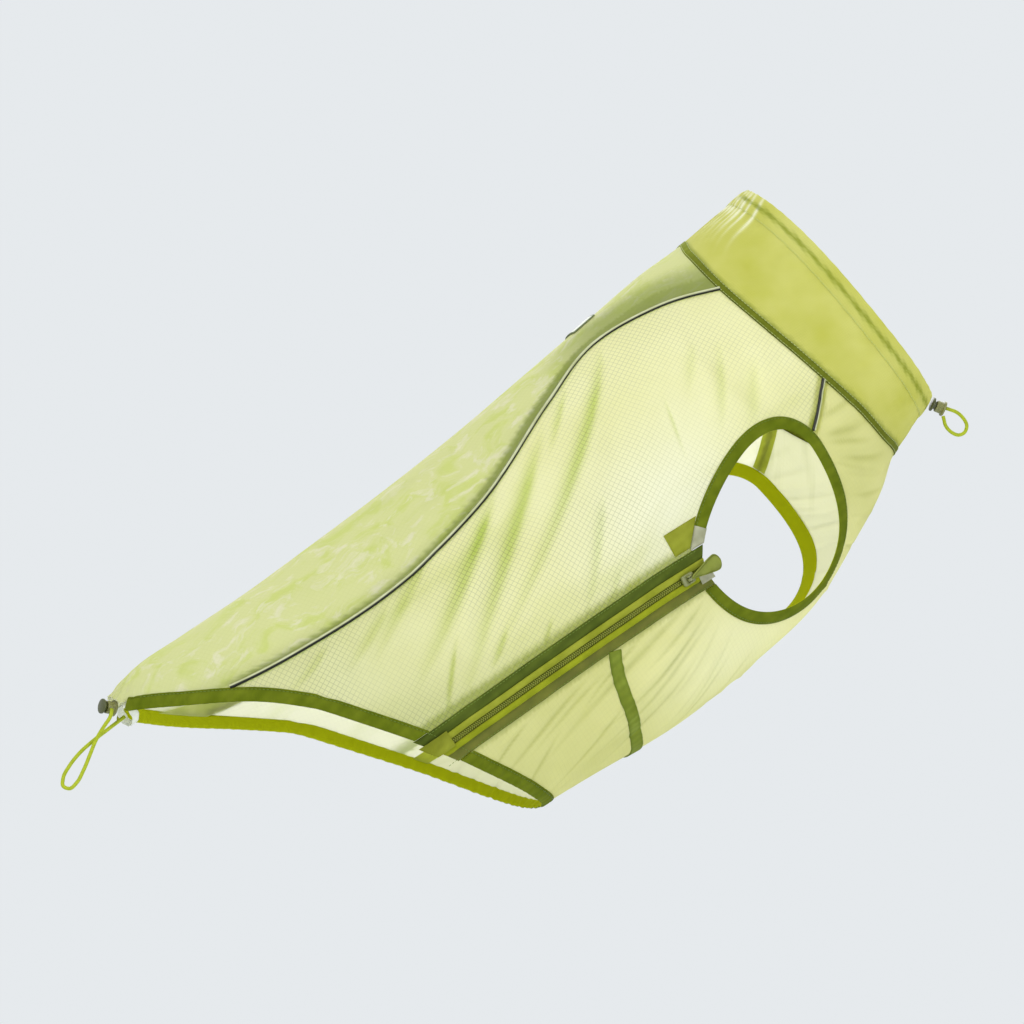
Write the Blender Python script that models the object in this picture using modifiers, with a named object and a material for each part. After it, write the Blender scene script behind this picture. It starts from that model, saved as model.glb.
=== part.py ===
"""Dog vest of thin ripstop cloth, filled out as worn, with a side zip and two drawcords.

The body is one smooth tube. Each place on it has a station, in millimetres along the back line,
forward from the collar seam, and a turn, in degrees round the tube from the back line at 0 to
the belly line at 180, positive on the dog's right. Seams and edges are lines of this chart, a
panel is the patch between four of them, and every piece is a wall on its patch.
"""

import math

import bmesh
import bpy
import numpy as np
from mathutils import Matrix

MM = 0.001
PITCH = math.radians(40.0)  # the back line rises this much towards the neck
WITHERS_STATION = -60.0  # where the back holds the vest up: the part's origin

CLOTH = 1.2  # wall of a panel
SEAM_GAP = 0.3  # between neighbouring pieces
CURVED_GAP = 0.5  # beside a curved seam, where the facets of the two edges differ
TAPE = 1.0  # wall of a tape that lies on a panel
BINDING = 2.4  # wall of a folded binding
CASING = 3.2  # wall of the collar's drawcord casing
COLLAR_TAPE = 1.8  # wall of the tape over the collar's seam
COIL = 1.6  # wall of the zip's coil
KEEPER = 3.4  # wall of the keeper over the end of the armhole's binding

COLLAR_TAPE_WIDTH = 6.0
CASING_WIDTH = 17.0
ARMHOLE_BINDING_WIDTH = 9.0
HEM_BINDING_WIDTH = 9.5
SEAM_TAPE_WIDTH = 9.0
BELLY_BAND_WIDTH = 9.0
PIPING_RADIUS = 1.5
FRONT_PIPING_RADIUS = 1.2
ZIP_TAPE_WIDTH = 7.1
ZIP_WELT_WIDTH = 4.4
ZIP_COIL_WIDTH = 3.4
ZIP_WELT = 2.2  # wall of a folded welt, which stands out beside the coil
ZIP_OVERHANG = 1.0  # of the zip past the hem
TAB_OVERHANG = 4.0  # of its folded ends
KEEPER_LENGTH = 11.0
KEEPER_OVERHANG = 0.4  # of the keeper past the binding's inner edge
TAIL_CORNER = 55.0  # turn where the hem's binding stops beside the tail
CORD_RADIUS = 1.25
PIPING_SETBACK = 1.2  # of the piping's ends from the pieces that they meet
FRONT_PIPING_SETBACK = 0.6


def table(names, rows):
    """Rows of numbers with named columns."""
    return np.array(rows, dtype=[(name, float) for name in names.split()])


# Cross-sections square to the back line: top, widest and bottom are levels up from that line.
SECTIONS = table(
    "station top widest bottom half_width",
    [
        (-540, -5, -40, -80, 16),
        (-512, -0.5, -46, -112, 26),
        (-490, 3.5, -62, -150, 40),
        (-450, 1.5, -84, -196, 59),
        (-400, -2, -101, -222, 70),
        (-345, -3.5, -114, -232, 76),
        (-290, -4.5, -120, -240, 80),
        (-220, -4, -123, -250, 82),
        (-150, -1, -120, -250.5, 81),
        (-90, 2, -114, -246, 77),
        (-40, 4.5, -106, -230, 70),
        (0, 3.5, -98, -214, 62),
        (20, 4, -95, -202, 58),
        (40, 4.5, -92, -196, 54),
        (70, 5, -90, -187, 51),
        (92, 4.5, -89, -184, 50),
    ],
)
COLLAR_SEAM = table(
    "turn station",
    [(0, 0), (26, -11), (54, -18), (80, -14), (104, -4), (124, 6), (145, 14), (163, 22), (180, 26)],
)
COLLAR_RIM = table(
    "turn station",
    [(0, 62), (26, 59), (60, 57.5), (104, 59), (145, 66), (180, 72)],
)
HEM = table(
    "turn station",
    [
        (0, -514),
        (30, -513.5),
        (52, -512),
        (66, -489),
        (77, -454),
        (88, -430),
        (99, -410.5),
        (115, -384),
        (135, -360),
        (158, -340),
        (180, -331),
    ],
)
BACK_SEAM = table(
    "station turn",
    [
        (-490, 67),
        (-410, 64.5),
        (-330, 61.5),
        (-240, 52.5),
        (-165, 38.5),
        (-112, 30.5),
        (-60, 40),
        (-18, 54),
        (10, 63),
    ],
)
ZIP_LINE = table(
    "station turn",
    [(-400, 119.5), (-345, 115.7), (-282, 113.7), (-235, 113.2), (-193, 114.3), (-168, 116.0), (-120, 120.0)],
)
FRONT_SEAM = table("station turn", [(-60, 117), (-34, 112.5), (0, 104), (16, 100)])
BELLY_BAND = table("turn station", [(110, -238), (131, -253), (160, -257), (180, -257)])
ARMHOLE = {
    "station": -103.0,
    "turn": 117.5,
    "half_length": 67.5,
    "turn_over": 22.0,  # from its widest place up to its top
    "turn_under": 48.0,  # and down to its lowest place
    "lean": 16.5,  # its top and its lowest place lie this much further forward
    "squareness": 1.9,
}
GARAGE = {"setback": 0.8, "rear": -177.0, "near": 2.0, "far": 17.5, "lift": 0.4, "puff": 1.8}
END_TAB = {"front": -369.0, "near": 2.9, "far": -8.5}
FRONT_TAB = {"setback": 2.0, "rear": -169.0, "near": 1.0, "far": 8.5}
LABEL = {"front": -87.0, "rear": -107.0, "half_turn": 9.5}

# As it hangs filled out, its left side is drawn forward over the loin and back round the armhole,
# and the corner beside the tail sags.
LEFT_HANG = table(
    "station forward up",
    [
        (-515, 0, 0),
        (-498, 3, -4),
        (-480, 6, -6),
        (-460, 8, -4),
        (-435, 10, 0),
        (-300, 9, 0),
        (-200, 0, 2),
        (-150, -4, 2),
        (-105, -9, 3),
        (-72, -10, 6),
        (-42, 0, 3),
        (-12, 0, 0),
    ],
)

# Large soft folds, from one place of the chart to another: a ridge is high, a trough is low.
FOLDS = table(
    "from_station from_turn to_station to_turn reach height",
    [
        (-95, 44, -235, 102, 11, -2.6),
        (-70, 52, -175, 86, 10, 2.0),
        (-150, 46, -285, 104, 12, 2.6),
        (-185, 50, -330, 106, 12, -2.4),
        (-240, 60, -375, 104, 12, 2.2),
        (-300, 66, -420, 92, 11, -2.0),
        (-62, 66, -120, 88, 9, -2.2),
        (-20, 74, -52, 98, 9, 1.8),
        (-180, 122, -360, 140, 13, -2.2),
        (-190, 138, -330, 158, 12, 2.2),
        (-175, 150, -320, 172, 12, -1.8),
        (-20, 128, -36, 160, 10, 1.8),
        (-470, 22, -516, 12, 7, 1.4),
        (-460, 38, -505, 28, 9, -1.0),
    ],
)


# ---- the tube and its chart ----


def smooth(x, xs, ys):
    """Smooth curve through the points (xs, ys), level beyond its ends."""
    slopes = np.gradient(ys, xs)
    i = np.clip(np.searchsorted(xs, x) - 1, 0, len(xs) - 2)
    step = xs[i + 1] - xs[i]
    t = np.clip((x - xs[i]) / step, 0, 1)
    start = (2 * t - 3) * t * t + 1
    leave = ((t - 2) * t + 1) * t * step
    arrive = (t - 1) * t * t * step
    return start * ys[i] + leave * slopes[i] + (1 - start) * ys[i + 1] + arrive * slopes[i + 1]


def column(rows, key, name, x):
    return smooth(x, rows[key], rows[name])


def left_share(turn):
    """Share of the left side's hang: it rises from 0 beside the back to 1, and falls to 0 at the belly."""
    left = np.clip((-turn) % 360, 0, 180) * (np.sin(np.radians(turn)) < 0)
    over, under = (np.clip(x, 0, 1) for x in ((left - 60) / 35, (180 - left) / 60))
    return over * over * (3 - 2 * over) * under * under * (3 - 2 * under)


def even_point(chart):
    """Place in the vest's own axes, in mm: forward, to the left, up. Both sides are alike."""
    station, turn = chart[..., 0], np.radians(chart[..., 1])
    top, widest, bottom, half = (
        column(SECTIONS, "station", name, station) for name in ("top", "widest", "bottom", "half_width")
    )
    rise = np.cos(turn)
    level = widest + rise * np.where(rise > 0, top - widest, widest - bottom)
    return np.stack([station, -half * np.sin(turn), level], axis=-1)


def smooth_point(chart):
    """Place in the vest's own axes, in mm, as it hangs."""
    share = left_share(chart[..., 1])
    forward, up = (share * column(LEFT_HANG, "station", name, chart[..., 0]) for name in ("forward", "up"))
    return even_point(chart) + np.stack([forward, 0 * share, up], axis=-1)


def slopes_of(chart, point=smooth_point):
    """Change of place for each mm of station and each degree of turn."""
    along, round_it = np.array([0.5, 0.0]), np.array([0.0, 0.5])
    return (
        point(chart + along) - point(chart - along),
        point(chart + round_it) - point(chart - round_it),
    )


def outward(chart, point=smooth_point):
    along, round_it = slopes_of(chart, point)
    normal = np.cross(round_it, along)
    return normal / np.linalg.norm(normal, axis=-1, keepdims=True)


def unrolled(station, turn):
    """Flat place in mm: the station, and the way round from the back line."""
    half = column(SECTIONS, "station", "half_width", station)
    return np.stack([station + 0 * turn, np.radians(np.abs(turn)) * 1.3 * half], axis=-1)


def fold_height(chart):
    """Height of the large folds: each is a soft bell across its line and fades towards its ends."""
    place = unrolled(chart[..., 0], chart[..., 1])
    total = np.zeros(chart.shape[:-1])
    for fold in FOLDS:
        start, end = (unrolled(fold[f"{at}_station"], fold[f"{at}_turn"]) for at in ("from", "to"))
        run = end - start
        along = np.clip((place - start) @ run / (run @ run), 0, 1)
        across = (place - start) @ np.array([-run[1], run[0]]) / np.linalg.norm(run)
        bell = np.exp(-((across / fold["reach"]) ** 2)) * np.sin(math.pi * along) ** 2
        total += fold["height"] * bell
    return total


def skin(chart, lift=0.0):
    """Point of the vest's cloth in its own axes, mm, moved out by lift."""
    lift = np.broadcast_to(lift, chart.shape[:-1])
    return smooth_point(chart) + outward(chart) * (fold_height(chart) + lift)[..., None]


def turned():
    """From the vest's own axes to the part's: pitched up, with the withers' inner face at the origin."""
    pitch = np.array(
        [
            [math.cos(PITCH), 0, -math.sin(PITCH)],
            [0, 1, 0],
            [math.sin(PITCH), 0, math.cos(PITCH)],
        ]
    )
    withers = skin(np.array([[WITHERS_STATION, 0.0]]), -CLOTH / 2)[0]
    return pitch, pitch @ withers


TURN, WITHERS = turned()


def placed(points):
    """Metres in the part's frame."""
    return (points @ TURN.T - WITHERS) * MM


# ---- lines of the chart ----


class Line:
    """A seam or an edge: a line of the chart, which can be read any distance to its side.

    Both sides are cut alike, so its distances are those of the tube before its left side hangs.
    """

    def __init__(self, chart_of, first, last):
        self.chart_of, self.first, self.last = chart_of, first, last

    def at(self, where, aside=0.0):
        """Chart of the line moved aside in mm: down if it runs to the tail, forward if it runs round."""
        where = np.asarray(where, float)
        step = (self.last - self.first) * 1e-4
        chart = self.chart_of(where)
        run = even_point(self.chart_of(where + step)) - even_point(self.chart_of(where - step))
        side = np.cross(outward(chart, even_point), run)
        side *= np.asarray(aside)[..., None] / np.linalg.norm(side, axis=-1, keepdims=True)
        along, round_it = slopes_of(chart, even_point)
        aa, ar, rr = (along * along).sum(-1), (along * round_it).sum(-1), (round_it * round_it).sum(-1)
        sa, sr = (side * along).sum(-1), (side * round_it).sum(-1)
        area = aa * rr - ar * ar
        return chart + np.stack([(sa * rr - sr * ar) / area, (sr * aa - sa * ar) / area], axis=-1)

    def evenly(self, first, last, count, aside=0.0):
        """Parameters that divide a stretch of the line into equal lengths."""
        where = np.linspace(first, last, 40 * count + 1)
        points = even_point(self.at(where, aside))
        length = np.append(0, np.cumsum(np.linalg.norm(np.diff(points, axis=0), axis=1)))
        return np.interp(np.linspace(0, length[-1], count + 1), length, where)


def ring_line(rows, turn):
    """A line round the tube, the same on both sides."""
    turn = np.abs((np.asarray(turn) + 180) % 360 - 180)
    mirrored = np.concatenate([-rows["turn"][1:3][::-1], rows["turn"], 360 - rows["turn"][-3:-1][::-1]])
    stations = np.concatenate([rows["station"][1:3][::-1], rows["station"], rows["station"][-3:-1][::-1]])
    return smooth(turn, mirrored, stations)


def around(rows):
    return Line(lambda turn: np.stack([ring_line(rows, turn), turn], axis=-1), 0.0, 180.0)


def lengthways(rows):
    first, last = rows["station"].max(), rows["station"].min()
    return Line(lambda x: np.stack([x, column(rows, "station", "turn", x)], axis=-1), first, last)


def armhole_chart(angle):
    """A full oval: 0 at its front, 90 at its belly side, 180 at its rear."""
    c, s = np.cos(np.radians(angle)), np.sin(np.radians(angle))
    power = ARMHOLE["squareness"]
    full = (np.abs(c) ** power + np.abs(s) ** power) ** (-1 / power)
    along, down = c * full, s * full
    reach = np.where(down > 0, ARMHOLE["turn_under"], ARMHOLE["turn_over"])
    station = ARMHOLE["station"] + ARMHOLE["half_length"] * along + ARMHOLE["lean"] * down * down
    return np.stack([station, ARMHOLE["turn"] + reach * down], axis=-1)


COLLAR_LINE, RIM_LINE, HEM_LINE, BAND_LINE = (
    around(rows) for rows in (COLLAR_SEAM, COLLAR_RIM, HEM, BELLY_BAND)
)
BACK_LINE, ZIP, FRONT = (lengthways(rows) for rows in (BACK_SEAM, ZIP_LINE, FRONT_SEAM))
ARM = Line(armhole_chart, -180.0, 180.0)


def crossing(one, one_aside, other, other_aside):
    """Parameters of two lines, each moved aside, where they cross."""
    where = [np.linspace(line.first, line.last, 721) for line in (one, other)]
    a, b = one.at(where[0], one_aside), other.at(where[1], other_aside)
    da, db = np.diff(a, axis=0)[:, None], np.diff(b, axis=0)[None]
    gap = b[None, :-1] - a[:-1, None]
    area = da[..., 0] * db[..., 1] - da[..., 1] * db[..., 0]
    area = np.where(np.abs(area) < 1e-12, 1e-12, area)
    s = (gap[..., 0] * db[..., 1] - gap[..., 1] * db[..., 0]) / area
    t = (gap[..., 0] * da[..., 1] - gap[..., 1] * da[..., 0]) / area
    i, j = np.argwhere((s >= 0) & (s < 1) & (t >= 0) & (t < 1))[0]
    steps = [w[1] - w[0] for w in where]
    return where[0][i] + s[i, j] * steps[0], where[1][j] + t[i, j] * steps[1]


# ---- patches of the chart ----


def panel(upper, lower, front, rear):
    """Chart of a panel blended between its upper and lower edges and its front and rear ones."""
    t = np.linspace(0, 1, len(upper))[:, None, None]
    s = np.linspace(0, 1, len(front))[None, :, None]
    ruled = (1 - s) * upper[:, None] + s * lower[:, None] + (1 - t) * front[None] + t * rear[None]
    fore = (1 - s) * front[0] + s * front[-1]
    aft = (1 - s) * rear[0] + s * rear[-1]
    return ruled - (1 - t) * fore - t * aft


def ribbon(line, start, end, fractions, asides):
    """Chart of a tape along a line, with a column for each distance aside.

    It starts and ends at a parameter, or at (line, distance): that line moved aside.
    """
    columns = []
    for aside in asides:
        first, last = (
            crossing(line, aside, *stop)[0] if isinstance(stop, tuple) else stop for stop in (start, end)
        )
        columns.append(line.at(first + fractions * (last - first), aside))
    return np.stack(columns, axis=1)


def shares(values):
    """Where each value lies between the first and the last, from 0 to 1."""
    return (values - values[0]) / (values[-1] - values[0])


def mirrored(chart):
    return chart * np.array([1.0, -1.0])


COLLAR_TAPE_EDGE = COLLAR_TAPE_WIDTH / 2 + CURVED_GAP
HEM_EDGE = HEM_BINDING_WIDTH + SEAM_GAP
PIPING_EDGE = PIPING_RADIUS + SEAM_GAP
FRONT_EDGE = FRONT_PIPING_RADIUS + SEAM_GAP
WELT_FROM = ZIP_COIL_WIDTH / 2 + SEAM_GAP
ZIP_TAPE_FROM = WELT_FROM + ZIP_WELT_WIDTH + SEAM_GAP
ZIP_EDGE = ZIP_TAPE_FROM + ZIP_TAPE_WIDTH + SEAM_GAP
SIDE_SEAM_EDGE = SEAM_GAP / 2

BACK_ROWS = (2, 11, 10)  # rows of a side panel beside the front seam, the armhole and the zip
BACK_ROW_STATIONS = (-52.0, -168.0)  # where those rows end on the back seam
CHEST_ROWS = (2, 7, 7, 10)  # its rows beside the armhole are parted at the armhole's lowest place
CHEST_ROW_STATIONS = (-22.0, -82.0, -190.0)
ARM_LOWEST = 90.0
SIDE_COLUMNS, CHEST_COLUMNS = 9, 14
TAIL_TURNS = (TAIL_CORNER - 6, TAIL_CORNER - 13)  # over these the back panel's edge steps out to the hem
TAIL_COLUMNS = (2, 1, 4)  # columns of half the back panel, from its seam to the back line


def joined_rows(line, marks, rows, aside):
    """Parameters along a line, with so many even rows between each two marks."""
    runs = [line.evenly(*pair, count, aside) for pair, count in zip(zip(marks, marks[1:]), rows)]
    return np.concatenate([runs[0]] + [run[1:] for run in runs[1:]])


def back_seam_rows(aside):
    fore = crossing(BACK_LINE, aside, COLLAR_LINE, -COLLAR_TAPE_EDGE)
    aft = crossing(BACK_LINE, aside, HEM_LINE, HEM_EDGE)
    where = joined_rows(BACK_LINE, (fore[0], *BACK_ROW_STATIONS, aft[0]), BACK_ROWS, aside)
    return where, fore[1], aft[1]


def tail_turns():
    """Turns of the back panel's rear edge from its right seam to its left one."""
    aft = back_seam_rows(-PIPING_EDGE)[2]
    half = joined_rows(HEM_LINE, (aft, *TAIL_TURNS, 0.0), TAIL_COLUMNS, 0.0)
    return np.concatenate([half, -half[-2::-1]])


def back_panel_chart():
    rows, fore, _ = back_seam_rows(-PIPING_EDGE)
    right = BACK_LINE.at(rows, -PIPING_EDGE)
    rear_turns = tail_turns()
    front_turns = COLLAR_LINE.evenly(fore, -fore, len(rear_turns) - 1, -COLLAR_TAPE_EDGE)
    rear_asides = np.where(np.abs(rear_turns) > TAIL_TURNS[0] - 0.5, HEM_EDGE, 0.0)
    return panel(
        right,
        mirrored(right),
        COLLAR_LINE.at(front_turns, -COLLAR_TAPE_EDGE),
        HEM_LINE.at(rear_turns, rear_asides),
    )


def side_ends(zip_edge):
    """Where a side panel's lower edge turns: its ends on the front seam, the armhole, the zip and the hem."""
    front_from, fore = crossing(FRONT, -FRONT_EDGE, COLLAR_LINE, -COLLAR_TAPE_EDGE)
    front_to, arm_from = crossing(FRONT, -FRONT_EDGE, ARM, CURVED_GAP)
    zip_from, arm_to = crossing(ZIP, -zip_edge, ARM, CURVED_GAP)
    zip_to, aft = crossing(ZIP, -zip_edge, HEM_LINE, HEM_EDGE)
    return (front_from, front_to), (arm_from, arm_to), (zip_from, zip_to), (fore, aft)


def chest_ends(zip_edge):
    front_from, fore = crossing(FRONT, FRONT_EDGE, COLLAR_LINE, -COLLAR_TAPE_EDGE)
    front_to, arm_from = crossing(FRONT, FRONT_EDGE, ARM, CURVED_GAP)
    zip_from, arm_to = crossing(ZIP, zip_edge, ARM, CURVED_GAP)
    zip_to, aft = crossing(ZIP, zip_edge, HEM_LINE, HEM_EDGE)
    arm_ends = (arm_from, ARM_LOWEST), (ARM_LOWEST, arm_to % 360)
    return (front_from, front_to), *arm_ends, (zip_from, zip_to), (fore, aft)


def beside(ends, rows, front_aside, zip_aside):
    """Chart of an edge that follows the front seam, the armhole, in one run or two, and the zip."""
    arm_runs = len(rows) - 2
    lines = (FRONT, *[ARM] * arm_runs, ZIP)
    runs = zip(lines, ends, rows, (front_aside, *[CURVED_GAP] * arm_runs, zip_aside))
    edges = [line.at(line.evenly(*pair, count, aside), aside) for line, pair, count, aside in runs]
    return np.concatenate([edges[0]] + [edge[1:] for edge in edges[1:]])


def side_hem_turns(zip_edge):
    """Turns of a side panel's rear edge, from the back seam to the zip or side seam."""
    return HEM_LINE.evenly(back_seam_rows(PIPING_EDGE)[2], side_ends(zip_edge)[3][1], SIDE_COLUMNS, HEM_EDGE)


def chest_hem_turns(zip_edge):
    return np.linspace(chest_ends(zip_edge)[-1][1], 180.0, CHEST_COLUMNS // 2 + 1)


def side_panel_chart(zip_edge):
    """The right side panel, down to a line this far above the middle of the zip or side seam."""
    rows, fore_upper, _ = back_seam_rows(PIPING_EDGE)
    *ends, (fore_lower, _) = side_ends(zip_edge)
    fore = COLLAR_LINE.evenly(fore_upper, fore_lower, SIDE_COLUMNS)
    return panel(
        BACK_LINE.at(rows, PIPING_EDGE),
        beside(ends, BACK_ROWS, -FRONT_EDGE, -zip_edge),
        COLLAR_LINE.at(fore, -COLLAR_TAPE_EDGE),
        HEM_LINE.at(side_hem_turns(zip_edge), HEM_EDGE),
    )


def chest_panel_chart():
    halves = []
    middle = Line(lambda x: np.stack([x, np.full(np.shape(x), 180.0)], axis=-1), 80.0, -400.0)
    fore_middle = COLLAR_LINE.at(180.0, -COLLAR_TAPE_EDGE)[0]
    aft_middle = HEM_LINE.at(180.0, HEM_EDGE)[0]
    belly = joined_rows(middle, (fore_middle, *CHEST_ROW_STATIONS, aft_middle), CHEST_ROWS, 0.0)
    for zip_edge in (ZIP_EDGE, SIDE_SEAM_EDGE):
        *ends, (fore, _) = chest_ends(zip_edge)
        fore_turns = np.linspace(fore, 180.0, CHEST_COLUMNS // 2 + 1)
        halves.append(
            panel(
                beside(ends, CHEST_ROWS, FRONT_EDGE, zip_edge),
                middle.at(belly),
                COLLAR_LINE.at(fore_turns, -COLLAR_TAPE_EDGE),
                HEM_LINE.at(chest_hem_turns(zip_edge), HEM_EDGE),
            )
        )
    left = np.array([0.0, 360.0]) + mirrored(halves[1])[:, -2::-1]
    return np.concatenate([halves[0], left], axis=1)


# ---- rings, bindings and tapes ----

RING_TURNS = np.linspace(0, 360, 42, endpoint=False)
CASING_ASIDES = (-CASING_WIDTH, -0.72 * CASING_WIDTH, -0.25 * CASING_WIDTH, 0.0)
CASING_WALLS = (0.5 * CASING, CASING, CASING, 0.5 * CASING)
HEM_ASIDES = (0.0, HEM_BINDING_WIDTH)
ARM_ASIDES = (0.0, -ARMHOLE_BINDING_WIDTH)
EVEN_TAPE = np.linspace(0, 1, 13)
SHORT_TAPE = np.linspace(0, 1, 5)


def onward(line, where, distance):
    """The parameter so many mm further along a line."""
    speed = np.linalg.norm(smooth_point(line.at(where + 0.01)) - smooth_point(line.at(where))) / 0.01
    return where + distance / speed


def ring_between(inner, inner_aside, outer, outer_aside, columns):
    s = np.linspace(0, 1, columns)[None, :, None]
    near, far = inner.at(RING_TURNS, inner_aside), outer.at(RING_TURNS, outer_aside)
    return (1 - s) * near[:, None] + s * far[:, None]


def hem_binding_charts():
    """The hem's two bindings: from the zip up to the tail, and from the zip round below to the tail."""
    tail = tail_turns()
    tail = tail[tail > TAIL_CORNER][:-1]
    above = np.concatenate([side_hem_turns(ZIP_EDGE)[::-1], tail, [TAIL_CORNER]])
    left_side = side_hem_turns(SIDE_SEAM_EDGE)[::-1]
    left = 360 - np.concatenate([chest_hem_turns(SIDE_SEAM_EDGE)[::-1], left_side[1:], tail, [TAIL_CORNER]])
    below = np.concatenate([chest_hem_turns(ZIP_EDGE), left[1:]])
    upper = ribbon(HEM_LINE, (ZIP, -ZIP_EDGE), TAIL_CORNER, shares(above), HEM_ASIDES)
    lower = ribbon(HEM_LINE, (ZIP, ZIP_EDGE), 360 - TAIL_CORNER, shares(below), HEM_ASIDES)
    return upper, lower


def armhole_angles(zip_edge):
    """Angles of the side panel's edge and then of the chest panel's, going round from the zip."""
    over, ends = side_ends(zip_edge)[1], chest_ends(zip_edge)
    fore, aft = (ARM.evenly(*ends[run], CHEST_ROWS[run], CURVED_GAP) for run in (1, 2))
    return ARM.evenly(*over, BACK_ROWS[1], CURVED_GAP)[::-1], np.concatenate([fore, aft[1:]])


def keeper_angles():
    """Where the keeper starts and ends, above the zip on the armhole's edge."""
    start = max(crossing(ARM, aside, ZIP, -ZIP_EDGE)[0] for aside in ARM_ASIDES)
    return start, onward(ARM, start, KEEPER_LENGTH)


def open_armhole_chart():
    over, under = armhole_angles(ZIP_EDGE)
    start = onward(ARM, keeper_angles()[1], SEAM_GAP)
    angles = np.concatenate([[start], over[over > start + 2], under])
    fractions = shares(angles)
    ends = [crossing(ARM, aside, ZIP, ZIP_EDGE)[0] % 360 for aside in ARM_ASIDES]
    columns = [ARM.at(start + fractions * (end - start), aside) for aside, end in zip(ARM_ASIDES, ends)]
    return np.stack(columns, axis=1)


def closed_armhole_chart():
    over, under = armhole_angles(SIDE_SEAM_EDGE)
    angles = np.concatenate([over, under])
    return mirrored(np.stack([ARM.at(angles, aside) for aside in ARM_ASIDES], axis=1))


def zip_ribbon(from_aside, to_aside, overhang=ZIP_OVERHANG, columns=2):
    asides = np.linspace(from_aside, to_aside, columns)
    return ribbon(ZIP, (ARM, -ARMHOLE_BINDING_WIDTH), (HEM_LINE, -overhang), EVEN_TAPE, asides)


def band_edge(grid, aside):
    """Points and normals, in mm, where each column of the chest panel's grid passes the belly band's edge."""
    points, normals = skin(grid), outward(grid)
    ahead = grid[..., 0] - ring_line(BELLY_BAND, grid[..., 1]) - aside
    row = np.argmax(ahead < 0, axis=0)
    column = np.arange(grid.shape[1])
    before, after = ahead[row - 1, column], ahead[row, column]
    t = (before / (before - after))[:, None]
    return (
        (1 - t) * points[row - 1, column] + t * points[row, column],
        (1 - t) * normals[row - 1, column] + t * normals[row, column],
    )


# ---- solids ----


def linear(colour):
    """Linear light of a colour written as six hex digits."""
    parts = [int(colour[i : i + 2], 16) / 255 for i in (1, 3, 5)]
    return [p / 12.92 if p <= 0.04045 else ((p + 0.055) / 1.055) ** 2.4 for p in parts]


def finish(name, colour, roughness):
    material = bpy.data.materials.new(name)
    material.use_nodes = True
    shader = material.node_tree.nodes["Principled BSDF"]
    shader.inputs["Base Color"].default_value = (*linear(colour), 1.0)
    shader.inputs["Roughness"].default_value = roughness
    return material


def keep(collection, name, data, look):
    obj = bpy.data.objects.new(name, data)
    data.materials.append(finish(name, *look))
    collection.objects.link(obj)
    return obj


def quads(index):
    return np.stack([index[:-1, :-1], index[1:, :-1], index[1:, 1:], index[:-1, 1:]], axis=-1).reshape(-1, 4)


def shell(collection, name, outer, inner, look, ring=False):
    """A closed wall between two grids of points in metres. A ring's last row meets its first."""
    rows, columns = outer.shape[:2]
    index = np.arange(2 * rows * columns).reshape(2, rows, columns)
    if ring:
        index = np.concatenate([index, index[:, :1]], axis=1)
    faces = [quads(grid) for grid in (*index, index[:, :, 0], index[:, :, -1])]
    if not ring:
        faces += [quads(index[:, 0]), quads(index[:, -1])]
    shaped = bmesh.new()
    mesh = bpy.data.meshes.new(name)
    points = np.concatenate([outer, inner]).reshape(-1, 3)
    mesh.from_pydata(points.tolist(), [], np.concatenate(faces).tolist())
    shaped.from_mesh(mesh)
    bmesh.ops.recalc_face_normals(shaped, faces=shaped.faces)
    shaped.to_mesh(mesh)
    shaped.free()
    mesh.shade_smooth()
    mesh.set_sharp_from_angle(angle=math.radians(40))
    return keep(collection, name, mesh, look)


def wall(collection, name, chart, look, lift=0.0, thick=CLOTH, ring=False):
    """A closed wall on a patch of the chart, half its thickness to each side of the lifted skin."""
    half = np.broadcast_to(np.asarray(thick) / 2, chart.shape[:-1])
    outer, inner = placed(skin(chart, lift + half)), placed(skin(chart, lift - half))
    return shell(collection, name, outer, inner, look, ring)


def tube(collection, name, points, radius, look, detail=1):
    """A round cord through points in metres, with flat ends."""
    curve = bpy.data.curves.new(name, "CURVE")
    curve.dimensions = "3D"
    curve.bevel_depth = radius * MM
    curve.bevel_resolution = detail
    curve.use_fill_caps = True
    spline = curve.splines.new("POLY")
    spline.points.add(len(points) - 1)
    for spot, point in zip(spline.points, points):
        spot.co = (*point, 1.0)
    return keep(collection, name, curve, look)


def turned_piece(collection, name, profile, look, matrix, steps=28):
    """A profile of (radius, height) in mm turned about its own axis."""
    mesh = bpy.data.meshes.new(name)
    edges = [(i, i + 1) for i in range(len(profile) - 1)]
    mesh.from_pydata([(r * MM, 0, z * MM) for r, z in profile], edges, [])
    obj = keep(collection, name, mesh, look)
    screw = obj.modifiers.new("turn", "SCREW")
    screw.angle = 2 * math.pi
    screw.steps = screw.render_steps = steps
    screw.use_merge_vertices = True
    screw.merge_threshold = 1e-6
    screw.use_normal_calculate = True
    obj.matrix_world = matrix
    return obj


def formed(shaped, name, matrix):
    """A mesh from modelling in mm, set in place."""
    bmesh.ops.recalc_face_normals(shaped, faces=shaped.faces)
    bmesh.ops.transform(shaped, matrix=matrix @ Matrix.Scale(MM, 4), verts=shaped.verts)
    mesh = bpy.data.meshes.new(name)
    shaped.to_mesh(mesh)
    shaped.free()
    return mesh


def block(low, high, bevel=0.0):
    shaped = bmesh.new()
    low, high = np.array(low), np.array(high)
    sizes = Matrix.Diagonal((*(high - low), 1))
    bmesh.ops.create_cube(shaped, matrix=Matrix.Translation((low + high) / 2) @ sizes)
    if bevel:
        bmesh.ops.bevel(
            shaped, geom=shaped.edges[:], offset=bevel, segments=2, profile=0.5, affect="EDGES"
        )
    return shaped


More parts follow.
